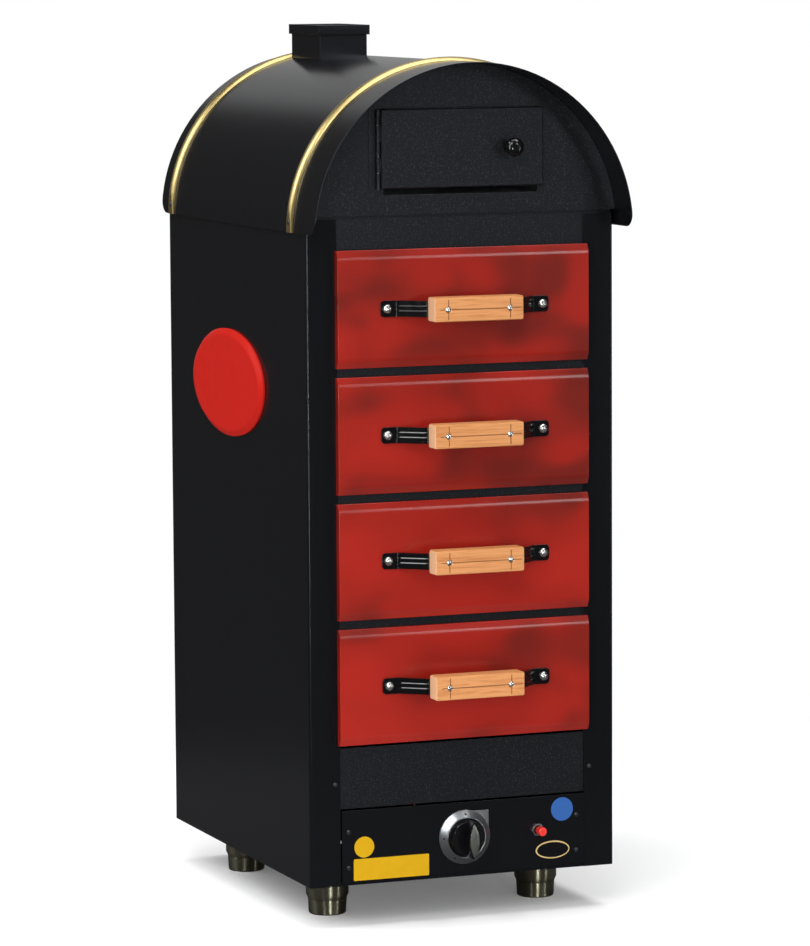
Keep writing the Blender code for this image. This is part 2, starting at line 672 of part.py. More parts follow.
def tray_flange_shape(mesh, side):
    half, front, back, floor, rim = tray_extent()
    top = rim - TRAY_RIM
    root = half - SHEET / 2
    tip = OPENING_HALF - TRAY_FLANGE_INSET
    low, high = sorted((side * root, side * tip))
    block(mesh, (low, front + SHEET, top - SHEET), (high, back - SHEET, top))


def handle_path():
    """Middle line of the strap in plan: pad, sloping leg, level back, leg and pad.

    Each point is x, y, whether the beads stand there, and how much narrower the strap is."""
    pad = -FRONT_PROUD - SEAT - STRAP_THICKNESS / 2
    level = -FRONT_PROUD - GRIP_STANDOFF + SEAT + STRAP_THICKNESS / 2
    end = HANDLE_SPAN / 2
    knee = end - PAD_LENGTH
    crest = knee - LEG_RUN
    half = []
    for step in range(PAD_CORNER_STEPS + 1):
        turn = pi / 2 * (1 - step / PAD_CORNER_STEPS)
        half.append((end - PAD_CORNER_RADIUS * (1 - sin(turn)), pad, 0,
                     PAD_CORNER_RADIUS * (1 - cos(turn))))
    run, step_out = LEG_RUN * LEG_END_SHARE, (level - pad) * LEG_END_SHARE
    half += [(knee, pad, 0, 0), (knee - run, pad + step_out, 1, 0),
             (crest + run, level - step_out, 1, 0), (crest, level, 0, 0)]
    return [(-spot[0],) + spot[1:] for spot in half] + half[::-1]


def strap_section(bead, narrower):
    """Across the strap: height over its width, and how far a point stands out of its face."""
    half = STRAP_WIDTH / 2 - narrower
    points = [(-half, 0)]
    for index in range(BEAD_COUNT):
        middle = (index - (BEAD_COUNT - 1) / 2) * BEAD_SPACING
        points += [(middle - BEAD_WIDTH / 2, 0), (middle, bead * BEAD_HEIGHT),
                   (middle + BEAD_WIDTH / 2, 0)]
    return points + [(half, 0)]


def strap_shape(mesh):
    path = handle_path()
    rings = []
    for index, (x, y, bead, narrower) in enumerate(path):
        before = Vector(path[max(index - 1, 0)][:2])
        after = Vector(path[min(index + 1, len(path) - 1)][:2])
        here = Vector((x, y))
        arms = [arm.normalized() for arm in (here - before, after - here) if arm.length]
        along = (arms[0] + arms[-1]).normalized()
        out = Vector((along.y, -along.x))
        stretch = 1 / along.dot(arms[0])
        front = [(here + out * stretch * (STRAP_THICKNESS / 2 + rise), height)
                 for height, rise in strap_section(bead, narrower)]
        edge = STRAP_WIDTH / 2 - narrower
        rear = [(here - out * stretch * STRAP_THICKNESS / 2, height) for height in (edge, -edge)]
        rings.append([Vector((spot.x, spot.y, height)) for spot, height in front + rear])
    loft(mesh, rings)


def grip_shape(mesh):
    back = -FRONT_PROUD - GRIP_STANDOFF
    block(mesh, (-GRIP_LENGTH / 2, back - GRIP_DEPTH, -GRIP_HEIGHT / 2),
          (GRIP_LENGTH / 2, back, GRIP_HEIGHT / 2))
    edges = [edge for edge in mesh.edges if all(vert.co.y < back - GRIP_DEPTH / 2 for vert in edge.verts)
             or abs(edge.verts[0].co.y - edge.verts[1].co.y) > GRIP_DEPTH / 2]
    bmesh.ops.bevel(mesh, geom=edges, offset=GRIP_CHAMFER, segments=GRIP_CHAMFER_STEPS,
                    profile=ROUND_PROFILE_SHARE, affect="EDGES")


def make_drawers():
    tray = solid("tray_pattern", "galvanised steel", tray_shape)
    combine(tray, "galvanised steel", "UNION", cutter(tray_flange_shape, -1),
            cutter(tray_flange_shape, 1))
    patterns = {"tray": tray,
                "front": solid("front_pattern", "red enamel", drawer_front_shape),
                "handle_strap": solid("strap_pattern", "black enamelled strap", strap_shape),
                "wood_grip": solid("grip_pattern", "beech", grip_shape)}
    for index in range(DRAWER_COUNT):
        runner = bpy.data.objects.new(f"drawer_{index + 1}_runner", None)
        runner.location = (0, FRONT_Y, drawer_middle(index))
        bpy.context.scene.collection.objects.link(runner)
        for piece, pattern in patterns.items():
            copy = bpy.data.objects.new(f"drawer_{index + 1}_{piece}", pattern.data)
            copy.parent = runner
            bpy.context.scene.collection.objects.link(copy)
    for pattern in patterns.values():
        bpy.data.objects.remove(pattern, do_unlink=True)


# Roof, gables, hoops and flue

def roof_shape(mesh):
    outer = arch(ROOF_OUTER_RADIUS, ROOF_CENTRE_Z, ROOF_LOW_Z, ROOF_STEPS)
    inner = arch(ROOF_INNER_RADIUS, ROOF_CENTRE_Z, ROOF_LOW_Z, ROOF_STEPS)
    prism(mesh, outer + list(reversed(inner)), facing(FRONT_Y - ROOF_FRONT_OVERHANG),
          facing(BACK_Y + ROOF_REAR_OVERHANG))


def roof_trim_shape(mesh):
    """The roof sheet's side view, with its lower corners rounded."""
    front, back = FRONT_Y - ROOF_FRONT_OVERHANG, BACK_Y + ROOF_REAR_OVERHANG
    top = ROOF_CENTRE_Z + ROOF_OUTER_RADIUS + OVERRUN
    outline = [(front, ROOF_LOW_Z), (back, ROOF_LOW_Z), (back, top), (front, top)]
    outline = rounded(outline, (0, 1), ROOF_CORNER_RADIUS, CORNER_STEPS)
    reach = ROOF_OUTER_RADIUS + OVERRUN
    prism(mesh, outline, sideways(-reach), sideways(reach))


def flue_hole_shape(mesh):
    block(mesh, (FLUE_LEFT_X - FLUE_CLEARANCE, FLUE_FRONT_Y - FLUE_CLEARANCE, ROOF_CENTRE_Z),
          (FLUE_RIGHT_X + FLUE_CLEARANCE, FLUE_BACK_Y + FLUE_CLEARANCE, FLUE_TOP_Z))


def gable_shape(mesh, face, inward):
    """A half-disc pan: a flat face, with a flange turned in round the arch and along its foot."""
    outer = arch(GABLE_RADIUS, ROOF_CENTRE_Z, GABLE_LOW_Z, ROOF_STEPS)
    inner = arch(GABLE_RADIUS - SHEET, ROOF_CENTRE_Z, GABLE_LOW_Z + SHEET, ROOF_STEPS)
    rim = face + inward * GABLE_FLANGE
    loft(mesh, [ring(facing(face), outer), ring(facing(rim), outer), ring(facing(rim), inner),
                ring(facing(face + inward * SHEET), inner)])


def hoop_shape(mesh, middle):
    """A domed bar bent over the roof."""
    section = [(-cos(pi * step / HOOP_SECTION_STEPS) * HOOP_WIDTH / 2,
                sin(pi * step / HOOP_SECTION_STEPS) * HOOP_PROUD)
               for step in range(HOOP_SECTION_STEPS + 1)]
    rows = [arch(ROOF_OUTER_RADIUS + SEAT + rise, ROOF_CENTRE_Z, ROOF_LOW_Z, ROOF_STEPS)
            for across, rise in section]
    rings = [[Vector((row[step][0], middle + across, row[step][1]))
              for row, (across, rise) in zip(rows, section)] for step in range(len(rows[0]))]
    loft(mesh, rings)


def duct_shape(mesh, grown, low, high, wall):
    """A square tube round the flue, grown outwards from the duct's own outside."""
    left, right = FLUE_LEFT_X - grown, FLUE_RIGHT_X + grown
    front, back = FLUE_FRONT_Y - grown, FLUE_BACK_Y + grown
    outer = rectangle(left, front, right, back)
    inner = rectangle(left + wall, front + wall, right - wall, back - wall)
    loft(mesh, [ring(in_plan(low), outer), ring(in_plan(high), outer), ring(in_plan(high), inner),
                ring(in_plan(low), inner)], closed=True)


def make_roof():
    roof = solid("roof_shell", "black powder coat", roof_shape)
    combine(roof, "black powder coat", "INTERSECT", cutter(roof_trim_shape))
    combine(roof, "black powder coat", "DIFFERENCE", cutter(flue_hole_shape))
    solid("rear_gable", "black powder coat", gable_shape, BACK_Y, -1)
    solid("front_hoop", "polished brass", hoop_shape,
          FRONT_Y - ROOF_FRONT_OVERHANG + FRONT_HOOP_SETBACK)
    solid("rear_hoop", "polished brass", hoop_shape, FLUE_BACK_Y + REAR_HOOP_GAP + HOOP_WIDTH / 2)
    solid("flue_duct", "black powder coat", duct_shape, 0, DECK_Z + SEAT, FLUE_TOP_Z - SHEET, SHEET)
    solid("flue_collar", "black powder coat", duct_shape, SEAT + COLLAR_WALL,
          FLUE_TOP_Z - COLLAR_HEIGHT, FLUE_TOP_Z, COLLAR_WALL)


# Warming door in the front gable

def door_opening():
    """Left, low, right and top of the hole in the gable."""
    half = DOOR_WIDTH / 2 - DOOR_LAP
    return -half, DOOR_LOW_Z - DOOR_SLOT, half, DOOR_TOP_Z - DOOR_LAP


def knuckle_spans():
    """Low and high end of each hinge knuckle."""
    pitch = DOOR_HEIGHT / HINGE_KNUCKLES
    return [(DOOR_LOW_Z + index * pitch + HINGE_KNUCKLE_GAP / 2,
             DOOR_LOW_Z + (index + 1) * pitch - HINGE_KNUCKLE_GAP / 2)
            for index in range(HINGE_KNUCKLES)]


def knuckle_shape(mesh, low, high, radius):
    outline = circle(radius, HINGE_STEPS, (HINGE_X, HINGE_Y))
    prism(mesh, outline, in_plan(low), in_plan(high))


def hinge_bore():
    return cutter(knuckle_shape, DOOR_LOW_Z - OVERRUN, DOOR_TOP_Z + OVERRUN, HINGE_BORE_RADIUS)


def door_shape(mesh):
    half = DOOR_WIDTH / 2
    face, rear = FRONT_Y - DOOR_PROUD, FRONT_Y - SEAT
    outer = rectangle(-half, DOOR_LOW_Z, half, DOOR_TOP_Z)
    edge = rectangle(DOOR_EDGE_BEVEL - half, DOOR_LOW_Z + DOOR_EDGE_BEVEL,
                     half - DOOR_EDGE_BEVEL, DOOR_TOP_Z - DOOR_EDGE_BEVEL)
    inner = rectangle(SHEET - half, DOOR_LOW_Z + SHEET, half - SHEET, DOOR_TOP_Z - SHEET)
    loft(mesh, [ring(facing(face), edge), ring(facing(face + DOOR_EDGE_BEVEL), outer),
                ring(facing(rear), outer), ring(facing(rear), inner),
                ring(facing(face + SHEET), inner)])


def liner_shape(mesh):
    """The five-sided box behind the opening, with a rim welded to the gable."""
    left, low, right, top = door_opening()
    front = FRONT_Y + SHEET + SEAT
    back = FLUE_FRONT_Y - SEAT

    def around(grow):
        return rectangle(left - grow, low - grow, right + grow, top + grow)

    loft(mesh, [ring(facing(front), around(0)), ring(facing(front), around(LINER_RIM)),
                ring(facing(front + SHEET), around(LINER_RIM)),
                ring(facing(front + SHEET), around(SHEET)), ring(facing(back), around(SHEET))])


def liner_cavity_shape(mesh):
    left, low, right, top = door_opening()
    block(mesh, (left, FRONT_Y, low), (right, FLUE_FRONT_Y - SEAT - SHEET, top))


def make_warming_door():
    gable = solid("front_gable", "black powder coat", gable_shape, FRONT_Y, 1)
    left, low, right, top = door_opening()
    opening = cutter(block, (left, FRONT_Y - OVERRUN, low), (right, FRONT_Y + GABLE_FLANGE, top))
    leaf = cutter(block, (HINGE_X - HINGE_LEAF_WIDTH, FRONT_Y - HINGE_LEAF_THICKNESS, DOOR_LOW_Z),
                  (HINGE_X + HINGE_RADIUS / 2, FRONT_Y + SHEET / 2, DOOR_TOP_Z))
    combine(gable, "black powder coat", "DIFFERENCE", opening)
    combine(gable, "black powder coat", "UNION", leaf)
    spans = knuckle_spans()
    for span in spans[0::2]:
        web = cutter(block, (HINGE_X - HINGE_RADIUS, HINGE_Y, span[0]),
                     (HINGE_X - HINGE_BORE_RADIUS, FRONT_Y + SHEET / 2, span[1]))
        barrel = cutter(knuckle_shape, *span, HINGE_RADIUS)
        combine(barrel, "black powder coat", "UNION", web)
        combine(gable, "black powder coat", "UNION", barrel)
    combine(gable, "black powder coat", "DIFFERENCE", hinge_bore())
    door = solid("warming_door", "black powder coat", door_shape)
    for span in spans[1::2]:
        web = cutter(block, (HINGE_X, HINGE_Y - HINGE_BORE_RADIUS, span[0]),
                     (HINGE_X + HINGE_RADIUS + SEAT + SHEET / 2, HINGE_Y + HINGE_BORE_RADIUS, span[1]))
        barrel = cutter(knuckle_shape, *span, HINGE_RADIUS)
        combine(barrel, "black powder coat", "UNION", web)
        combine(door, "black powder coat", "UNION", barrel)
    combine(door, "black powder coat", "DIFFERENCE", hinge_bore())
    axis = Vector((HINGE_X, HINGE_Y, DOOR_LOW_Z))
    set_origin(door, axis)
    solid("hinge_pin", "chrome", knuckle_shape, DOOR_LOW_Z, DOOR_TOP_Z, HINGE_PIN_RADIUS)
    knob = turn_to_front(solid("warming_door_knob", "black phenolic", turned, door_knob_profile(),
                               KNOB_STEPS),
                         Vector((DOOR_WIDTH / 2 - DOOR_KNOB_INSET, FRONT_Y - DOOR_PROUD - SEAT,
                                 DOOR_LOW_Z + DOOR_HEIGHT / 2)))
    set_origin(knob, axis)
    liner = solid("warming_liner", "galvanised steel", liner_shape)
    combine(liner, "galvanised steel", "DIFFERENCE", cutter(liner_cavity_shape))


def door_knob_profile():
    """A flared foot, a slim neck and a domed head, as (radius, height) pairs."""
    points = [(DOOR_KNOB_FOOT_RADIUS, 0), (DOOR_KNOB_FOOT_RADIUS, SHEET),
              (DOOR_KNOB_NECK_RADIUS, DOOR_KNOB_LENGTH * KNOB_NECK_SHARE)]
    flat = DOOR_KNOB_LENGTH * KNOB_HEAD_SHARE
    half = (DOOR_KNOB_LENGTH - flat) / 2
    for step in range(KNOB_DOME_STEPS):
        turn = -pi / 3 + (pi / 3 + pi / 2) * step / KNOB_DOME_STEPS
        points.append((DOOR_KNOB_RADIUS * cos(turn), flat + half + half * sin(turn)))
    return points


# Thermostat knob, shaft and bezel

def bezel_outline(radius, corner):
    """A circle with one square corner, at the upper right."""
    points = []
    for step in range(BEZEL_STEPS):
        turn = 2 * pi * step / BEZEL_STEPS
        reach = radius
        if 0 <= turn <= pi / 2:
            reach = max(radius, corner / max(cos(turn), sin(turn)))
        points.append((reach * cos(turn), reach * sin(turn) + CONTROL_AXIS_Z))
    return points


def bezel_shape(mesh):
    back = CONTROL_FACE_Y - SEAT
    plate = back - BEZEL_PLATE
    lip = back - BEZEL_PROUD
    edge = BEZEL_RADIUS - SEAT
    crown = (BEZEL_LIP_RADIUS + BEZEL_BORE_RADIUS) / 2
    rows = [(BEZEL_RADIUS, BEZEL_CORNER, back), (BEZEL_RADIUS, BEZEL_CORNER, plate),
            (edge, 0, plate), (BEZEL_LIP_RADIUS, 0, lip + SHEET / 2), (crown, 0, lip),
            (BEZEL_BORE_RADIUS, 0, lip + SHEET / 2), (BEZEL_BORE_RADIUS, 0, back)]
    loft(mesh, [ring(facing(depth), bezel_outline(radius, corner)) for radius, corner, depth in rows],
         closed=True)


def knob_body_shape(mesh):
    rise = KNOB_BODY_LENGTH
    edge = KNOB_GRIP_ROUND / 2
    turned(mesh, [(KNOB_SKIRT_RADIUS, 0), (KNOB_SKIRT_RADIUS, rise * KNOB_SKIRT_SHARE),
                  (KNOB_FACE_RADIUS, rise - edge), (KNOB_FACE_RADIUS - edge, rise)], KNOB_STEPS)


def knob_grip_shape(mesh):
    """A lens-shaped bar across the knob, rounded off at its crest."""
    half_long, half_wide = KNOB_GRIP_LENGTH / 2, KNOB_GRIP_WIDTH / 2
    radius = (half_long * half_long + half_wide * half_wide) / (2 * half_wide)
    reach = asin(half_long / radius)

    def lens(shrink):
        points = []
        for side in (1, -1):
            for step in range(LENS_STEPS):
                turn = reach - 2 * reach * step / LENS_STEPS
                points.append((side * (radius * cos(turn) - radius + half_wide) * shrink,
                               side * radius * sin(turn) * shrink))
        return points

    crest = KNOB_BODY_LENGTH + KNOB_GRIP_RISE
    rows = [(1, KNOB_BODY_LENGTH / 2), (1, crest - KNOB_GRIP_ROUND),
            (CREST_SHRINK_SHARE, crest - KNOB_GRIP_ROUND / 3), (CREST_TIP_SHARE, crest)]
    loft(mesh, [ring(in_plan(height), lens(shrink)) for shrink, height in rows])


def make_controls():
    solid("knob_bezel", "chrome", bezel_shape)
    centre = Vector((0, CONTROL_FACE_Y - KNOB_TRAVEL - SHEET, CONTROL_AXIS_Z))
    knob = solid("thermostat_knob", "black phenolic", knob_body_shape)
    combine(knob, "black phenolic", "UNION", cutter(knob_grip_shape))
    socket = SHAFT_RADIUS + SHAFT_FIT
    depth = SHAFT_DEPTH_IN_KNOB + KNOB_TRAVEL + SEAT
    combine(knob, "black phenolic", "DIFFERENCE",
            cutter(turned, [(socket, -OVERRUN), (socket, depth)], PIPE_SIDES * 2))
    turn_to_front(knob, centre)
    set_origin(knob, centre)
    valve_face = FRONT_Y + SHEET + SEAT
    length = valve_face + SHAFT_DEPTH_IN_VALVE - SEAT - centre.y + SHAFT_DEPTH_IN_KNOB
    foot = Vector((0, valve_face + SHAFT_DEPTH_IN_VALVE - SEAT, CONTROL_AXIS_Z))
    shaft = solid("thermostat_shaft", "chrome", turned, [(SHAFT_RADIUS, 0), (SHAFT_RADIUS, length)],
                  PIPE_SIDES * 2)
    set_origin(turn_to_front(shaft, foot), foot)
    make_igniter()


def igniter_hole_radius():
    return IGNITER_NUT_RADIUS - SHEET


def make_igniter():
    """Housing behind the panel, nut before it, and the button that slides through both."""
    middle = Vector((IGNITER_OFFSET, 0, BASE_Z + IGNITER_LIFT))
    neck = igniter_hole_radius() - SEAT
    bore = IGNITER_STEM_RADIUS + SEAT
    panel_back = CONTROL_FACE_Y + SHEET
    barrel_front = CONTROL_FACE_Y - IGNITER_NUT_LENGTH
    shoulder = IGNITER_BODY_LENGTH
    rear = panel_back + SEAT + IGNITER_BODY_LENGTH
    reach = rear - barrel_front
    depth = IGNITER_TRAVEL + 2 * SHEET
    inner = shoulder - depth
    body = solid("igniter_body", "black phenolic", turned,
                 [(IGNITER_BODY_RADIUS, 0), (IGNITER_BODY_RADIUS, shoulder), (neck, shoulder),
                  (neck, reach), (bore, reach), (bore, inner)], FOOT_STEPS)
    turn_to_front(body, middle + Vector((0, rear, 0)))
    nut = solid("igniter_nut", "chrome", nut_shape, neck + SEAT)
    turn_to_front(nut, middle + Vector((0, CONTROL_FACE_Y - SEAT, 0)))
    cap_back = barrel_front - IGNITER_TRAVEL - SEAT
    foot = cap_back + IGNITER_TRAVEL + SEAT + SHEET
    stem = foot - cap_back
    long = stem + IGNITER_CAP_LENGTH
    button = solid("igniter_button", "red plastic", turned,
                   [(IGNITER_STEM_RADIUS, 0), (IGNITER_STEM_RADIUS, stem), (IGNITER_CAP_RADIUS, stem),
                    (IGNITER_CAP_RADIUS, long - IGNITER_ROUND),
                    (IGNITER_CAP_RADIUS - IGNITER_ROUND / 3, long - IGNITER_ROUND / 3),
                    (IGNITER_CAP_RADIUS - IGNITER_ROUND, long)], FOOT_STEPS)
    place = middle + Vector((0, foot, 0))
    set_origin(turn_to_front(button, place), place)


def nut_shape(mesh, bore):
    """A hexagon nut with a round bore."""
    outer = []
    for step in range(NUT_STEPS_PER_FLAT * IGNITER_SIDES):
        turn = 2 * pi * step / (NUT_STEPS_PER_FLAT * IGNITER_SIDES)
        flat = (turn % (2 * pi / IGNITER_SIDES)) - pi / IGNITER_SIDES
        outer.append((IGNITER_NUT_RADIUS / cos(flat) * cos(turn),
                      IGNITER_NUT_RADIUS / cos(flat) * sin(turn)))
    inner = circle(bore, NUT_STEPS_PER_FLAT * IGNITER_SIDES)
    top = IGNITER_NUT_LENGTH - SEAT
    loft(mesh, [ring(in_plan(0), outer), ring(in_plan(top), outer), ring(in_plan(top), inner),
                ring(in_plan(0), inner)], closed=True)


# Feet

def make_feet():
    middle_y = (FRONT_Y + BACK_Y) / 2
    reach_x = HALF_WIDTH - FOOT_INSET_SIDE
    reach_y = CASING_DEPTH / 2 - FOOT_INSET_END
    sleeve_low = FOOT_PAD_HEIGHT + SEAT
    sleeve_top = BASE_Z - SEAT
    neck = FOOT_SLEEVE_RADIUS - FOOT_TAPER_DEPTH
    neck_top = sleeve_low + FOOT_NECK_HEIGHT
    bore = FOOT_SLEEVE_RADIUS - FOOT_SLEEVE_WALL
    bore_top = sleeve_top - FOOT_CAP
    sleeve = solid("sleeve_pattern", "bronzed chrome", turned,
                   [(FOOT_SLEEVE_RADIUS, sleeve_top), (FOOT_SLEEVE_RADIUS, neck_top + FOOT_TAPER_HEIGHT),
                    (neck, neck_top), (neck, sleeve_low), (bore, sleeve_low), (bore, bore_top)],
                   FOOT_STEPS)
    spigot = bore - FOOT_RUNNING_FIT
    slim = FOOT_PAD_RADIUS - FOOT_PAD_TAPER
    pad = solid("pad_pattern", "bronzed chrome", turned,
                [(slim - FOOT_PAD_CHAMFER, 0), (slim, FOOT_PAD_CHAMFER),
                 (FOOT_PAD_RADIUS, FOOT_PAD_HEIGHT - SHEET), (FOOT_PAD_RADIUS, FOOT_PAD_HEIGHT),
                 (spigot, FOOT_PAD_HEIGHT), (spigot, bore_top - SEAT)], FOOT_STEPS)
    places = {"front_left": (-1, -1), "front_right": (1, -1), "rear_left": (-1, 1),
              "rear_right": (1, 1)}
    for corner, (side, end) in places.items():
        for piece, pattern in (("foot_sleeve", sleeve), ("foot_pad", pad)):
            copy = bpy.data.objects.new(f"{corner}_{piece}", pattern.data)
            copy.location = (side * reach_x, middle_y + end * reach_y, 0)
            bpy.context.scene.collection.objects.link(copy)
    for pattern in (sleeve, pad):
        bpy.data.objects.remove(pattern, do_unlink=True)


# Burner, valve and pipes

def hairpin_path():
    half = BURNER_SPREAD / 2
    height = BASE_Z + BURNER_LIFT
    near = FRONT_Y + BURNER_FRONT_GAP
    far = near + BURNER_LENGTH
    return bent_path([Vector((-half, near, height)), Vector((-half, far, height)),
                      Vector((half, far, height)), Vector((half, near, height))],
                     half * HAIRPIN_BEND_SHARE, BURNER_BEND_STEPS)


def burner_stand_shape(mesh, middle_y):
    """A folded bridge that stands on the base and carries both legs of the hairpin."""
    half = BURNER_SPREAD / 2 + BURNER_RADIUS
    top = BASE_Z + BURNER_LIFT - BURNER_RADIUS / 2
    foot = BASE_Z + SHEET + SEAT
    outline = [(-half, foot), (SHEET - half, foot), (SHEET - half, top - SHEET),
               (half - SHEET, top - SHEET), (half - SHEET, foot), (half, foot), (half, top),
               (-half, top)]
    prism(mesh, outline, facing(middle_y - BURNER_STAND_WIDTH / 2),
          facing(middle_y + BURNER_STAND_WIDTH / 2))


def make_gas_line():
    burner = solid("burner", "cast aluminium", tube, hairpin_path(), BURNER_RADIUS, BURNER_SIDES)
    near = FRONT_Y + BURNER_FRONT_GAP
    stands = [cutter(burner_stand_shape, near + BURNER_LENGTH * share) for share in STAND_SHARES]
    combine(burner, "cast aluminium", "UNION", *stands)
    make_valve()
    height = BASE_Z + BURNER_LIFT
    valve_back = valve_front() + VALVE_NECK_LENGTH + VALVE_DEPTH
    valve_side = VALVE_WIDTH / 2
    pipe_z = CONTROL_AXIS_Z
    outlet_y = valve_back - VALVE_DEPTH / 2
    half = BURNER_SPREAD / 2
    jet = [Vector((-valve_side - SEAT, outlet_y, pipe_z)), Vector((-half, outlet_y, pipe_z)),
           Vector((-half, outlet_y, height)), Vector((-half, near - SEAT, height))]
    bend = min(PIPE_BEND, (half - valve_side) / 2, (near - outlet_y) / 2)
    solid("burner_feed_pipe", "copper pipe", tube, bent_path(jet, bend, PIPE_BEND_STEPS),
          PIPE_RADIUS, PIPE_SIDES)
    inlet_z = BASE_Z + INLET_LIFT
    inlet_front = BACK_Y + INLET_REACH - INLET_LENGTH
    turn_y = valve_back + PIPE_SETBACK
    supply = [Vector((0, valve_back + SEAT, pipe_z)),
              Vector((0, turn_y, pipe_z)),
              Vector((INLET_OFFSET, turn_y, pipe_z)),
              Vector((INLET_OFFSET, inlet_front + OVERRUN, inlet_z))]
    pipe = solid("gas_inlet_pipe", "galvanised steel", tube,
                 bent_path(supply, PIPE_BEND, PIPE_BEND_STEPS), PIPE_RADIUS, PIPE_SIDES)
    floor = INLET_LENGTH * INLET_FLOOR_SHARE
    end = cutter(turned, [(INLET_RADIUS, 0), (INLET_RADIUS, INLET_LENGTH),
                          (INLET_BORE_RADIUS, INLET_LENGTH), (INLET_BORE_RADIUS, floor)],
                 INLET_STEPS)
    end.data.transform(Matrix.Translation((INLET_OFFSET, inlet_front, inlet_z)) @
                       Matrix.Rotation(-pi / 2, 4, "X"))
    combine(pipe, "galvanised steel", "UNION", end)


def valve_front():
    return FRONT_Y + SHEET + SEAT


def make_valve():
    """The thermostat valve: a block behind the panel, with a neck that the shaft enters."""
    front = valve_front() + VALVE_NECK_LENGTH
    valve = solid("gas_valve", "cast aluminium", block,
                  (-VALVE_WIDTH / 2, front, CONTROL_AXIS_Z - VALVE_HEIGHT / 2),
                  (VALVE_WIDTH / 2, front + VALVE_DEPTH, CONTROL_AXIS_Z + VALVE_HEIGHT / 2))
    neck = cutter(turned, [(VALVE_NECK_RADIUS, 0), (VALVE_NECK_RADIUS, VALVE_NECK_LENGTH + OVERRUN)],
                  FOOT_STEPS)
    turn_to_front(neck, Vector((0, front + OVERRUN, CONTROL_AXIS_Z)))
    combine(valve, "cast aluminium", "UNION", neck)
    socket = SHAFT_RADIUS + SHAFT_FIT
    bore = cutter(turned, [(socket, 0), (socket, SHAFT_DEPTH_IN_VALVE + OVERRUN)], PIPE_SIDES * 2)
    turn_to_front(bore, Vector((0, valve_front() + SHAFT_DEPTH_IN_VALVE, CONTROL_AXIS_Z)))
    combine(valve, "cast aluminium", "DIFFERENCE", bore)


def main():
    clear_scene()
    make_casing()
    make_control_panel()
    make_linings()
    make_drawers()
    make_roof()
    make_warming_door()
    make_controls()
    make_feet()
    make_gas_line()


main()
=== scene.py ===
"""The looks of a four-drawer gas oven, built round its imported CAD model.

Every piece is in metres in the oven's own frame: +Z up, the drawer fronts towards -Y, the floor
at z = 0 and the origin under the middle of the oven.
"""

import json
from functools import partial
from math import asin, cos, hypot, pi, radians, sin

import bmesh
import bpy
from bpy.props import FloatProperty, PointerProperty, StringProperty
from bpy.types import Operator, Panel, PropertyGroup
from bpy.utils import register_class, unregister_class
from mathutils import Matrix, Vector


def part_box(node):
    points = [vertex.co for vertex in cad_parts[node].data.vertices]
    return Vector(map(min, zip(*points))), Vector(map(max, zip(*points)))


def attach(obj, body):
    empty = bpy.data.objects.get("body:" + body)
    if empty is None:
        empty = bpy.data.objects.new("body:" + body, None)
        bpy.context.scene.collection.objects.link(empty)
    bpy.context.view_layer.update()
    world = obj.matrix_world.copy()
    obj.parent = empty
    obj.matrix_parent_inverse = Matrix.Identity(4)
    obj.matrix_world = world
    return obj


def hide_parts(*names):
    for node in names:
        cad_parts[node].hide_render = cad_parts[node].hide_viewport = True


bl_info = {
    "name": "Drawer oven",
    "version": (1, 0, 0),
    "blender": (4, 5, 0),
    "location": "3D View > Sidebar > Oven",
    "description": "Finishes, fasteners, plates and studio for a four-drawer gas oven",
    "category": "Object",
}

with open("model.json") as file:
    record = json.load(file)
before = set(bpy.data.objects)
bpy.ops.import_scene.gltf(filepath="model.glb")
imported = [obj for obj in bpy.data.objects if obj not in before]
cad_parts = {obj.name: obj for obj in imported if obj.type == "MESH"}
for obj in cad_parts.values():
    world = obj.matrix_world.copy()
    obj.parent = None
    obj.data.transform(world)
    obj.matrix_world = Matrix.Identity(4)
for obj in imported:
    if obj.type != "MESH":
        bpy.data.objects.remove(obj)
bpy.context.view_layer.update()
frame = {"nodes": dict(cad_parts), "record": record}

MILLIMETRE = 0.001
MERGE_DISTANCE = 0.00001  # corners of the CAD triangles that are one corner
FLAT_ANGLE = radians(0.4)  # neighbouring CAD triangles closer than this are one flat
ROUND_PROFILE = 0.5  # quarter-circle profile of a bevel
SMOOTH_ANGLE = radians(32)  # faces that bend less than this are shaded as one curve
SHARP_ANGLE = radians(35)  # edges that bend more than this are rounded
PLATE_GAP = 0.0002  # between a plate or a screw and what carries it
SEAT = 0.0003  # between pieces that rest on each other, as in the CAD model

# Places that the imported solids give
front_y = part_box("left_side_panel")[0].y
panel_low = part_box("control_panel")[0]
side_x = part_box("left_side_panel")[0].x
roof_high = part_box("roof_shell")[1]
knob_low, knob_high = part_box("thermostat_knob")
knob_x, knob_z = (knob_low.x + knob_high.x) / 2, (knob_low.z + knob_high.z) / 2


def linear(code):
    """Linear RGBA of an sRGB hex colour."""
    parts = [int(code[start:start + 2], 16) / 255 for start in (1, 3, 5)]
    return tuple(((part + 0.055) / 1.055) ** 2.4 if part > 0.04045 else part / 12.92
                 for part in parts) + (1,)


# Sizes and colours that a user would change

def colour(name, code, place):
    """A colour that the user may change, as an sRGB hex code."""
    return StringProperty(name=name, default=code, description=f"sRGB hex colour of {place}")


def length(name, size, meaning):
    """A length in metres that the user may change."""
    return FloatProperty(name=name, default=size, description=meaning, unit="LENGTH")


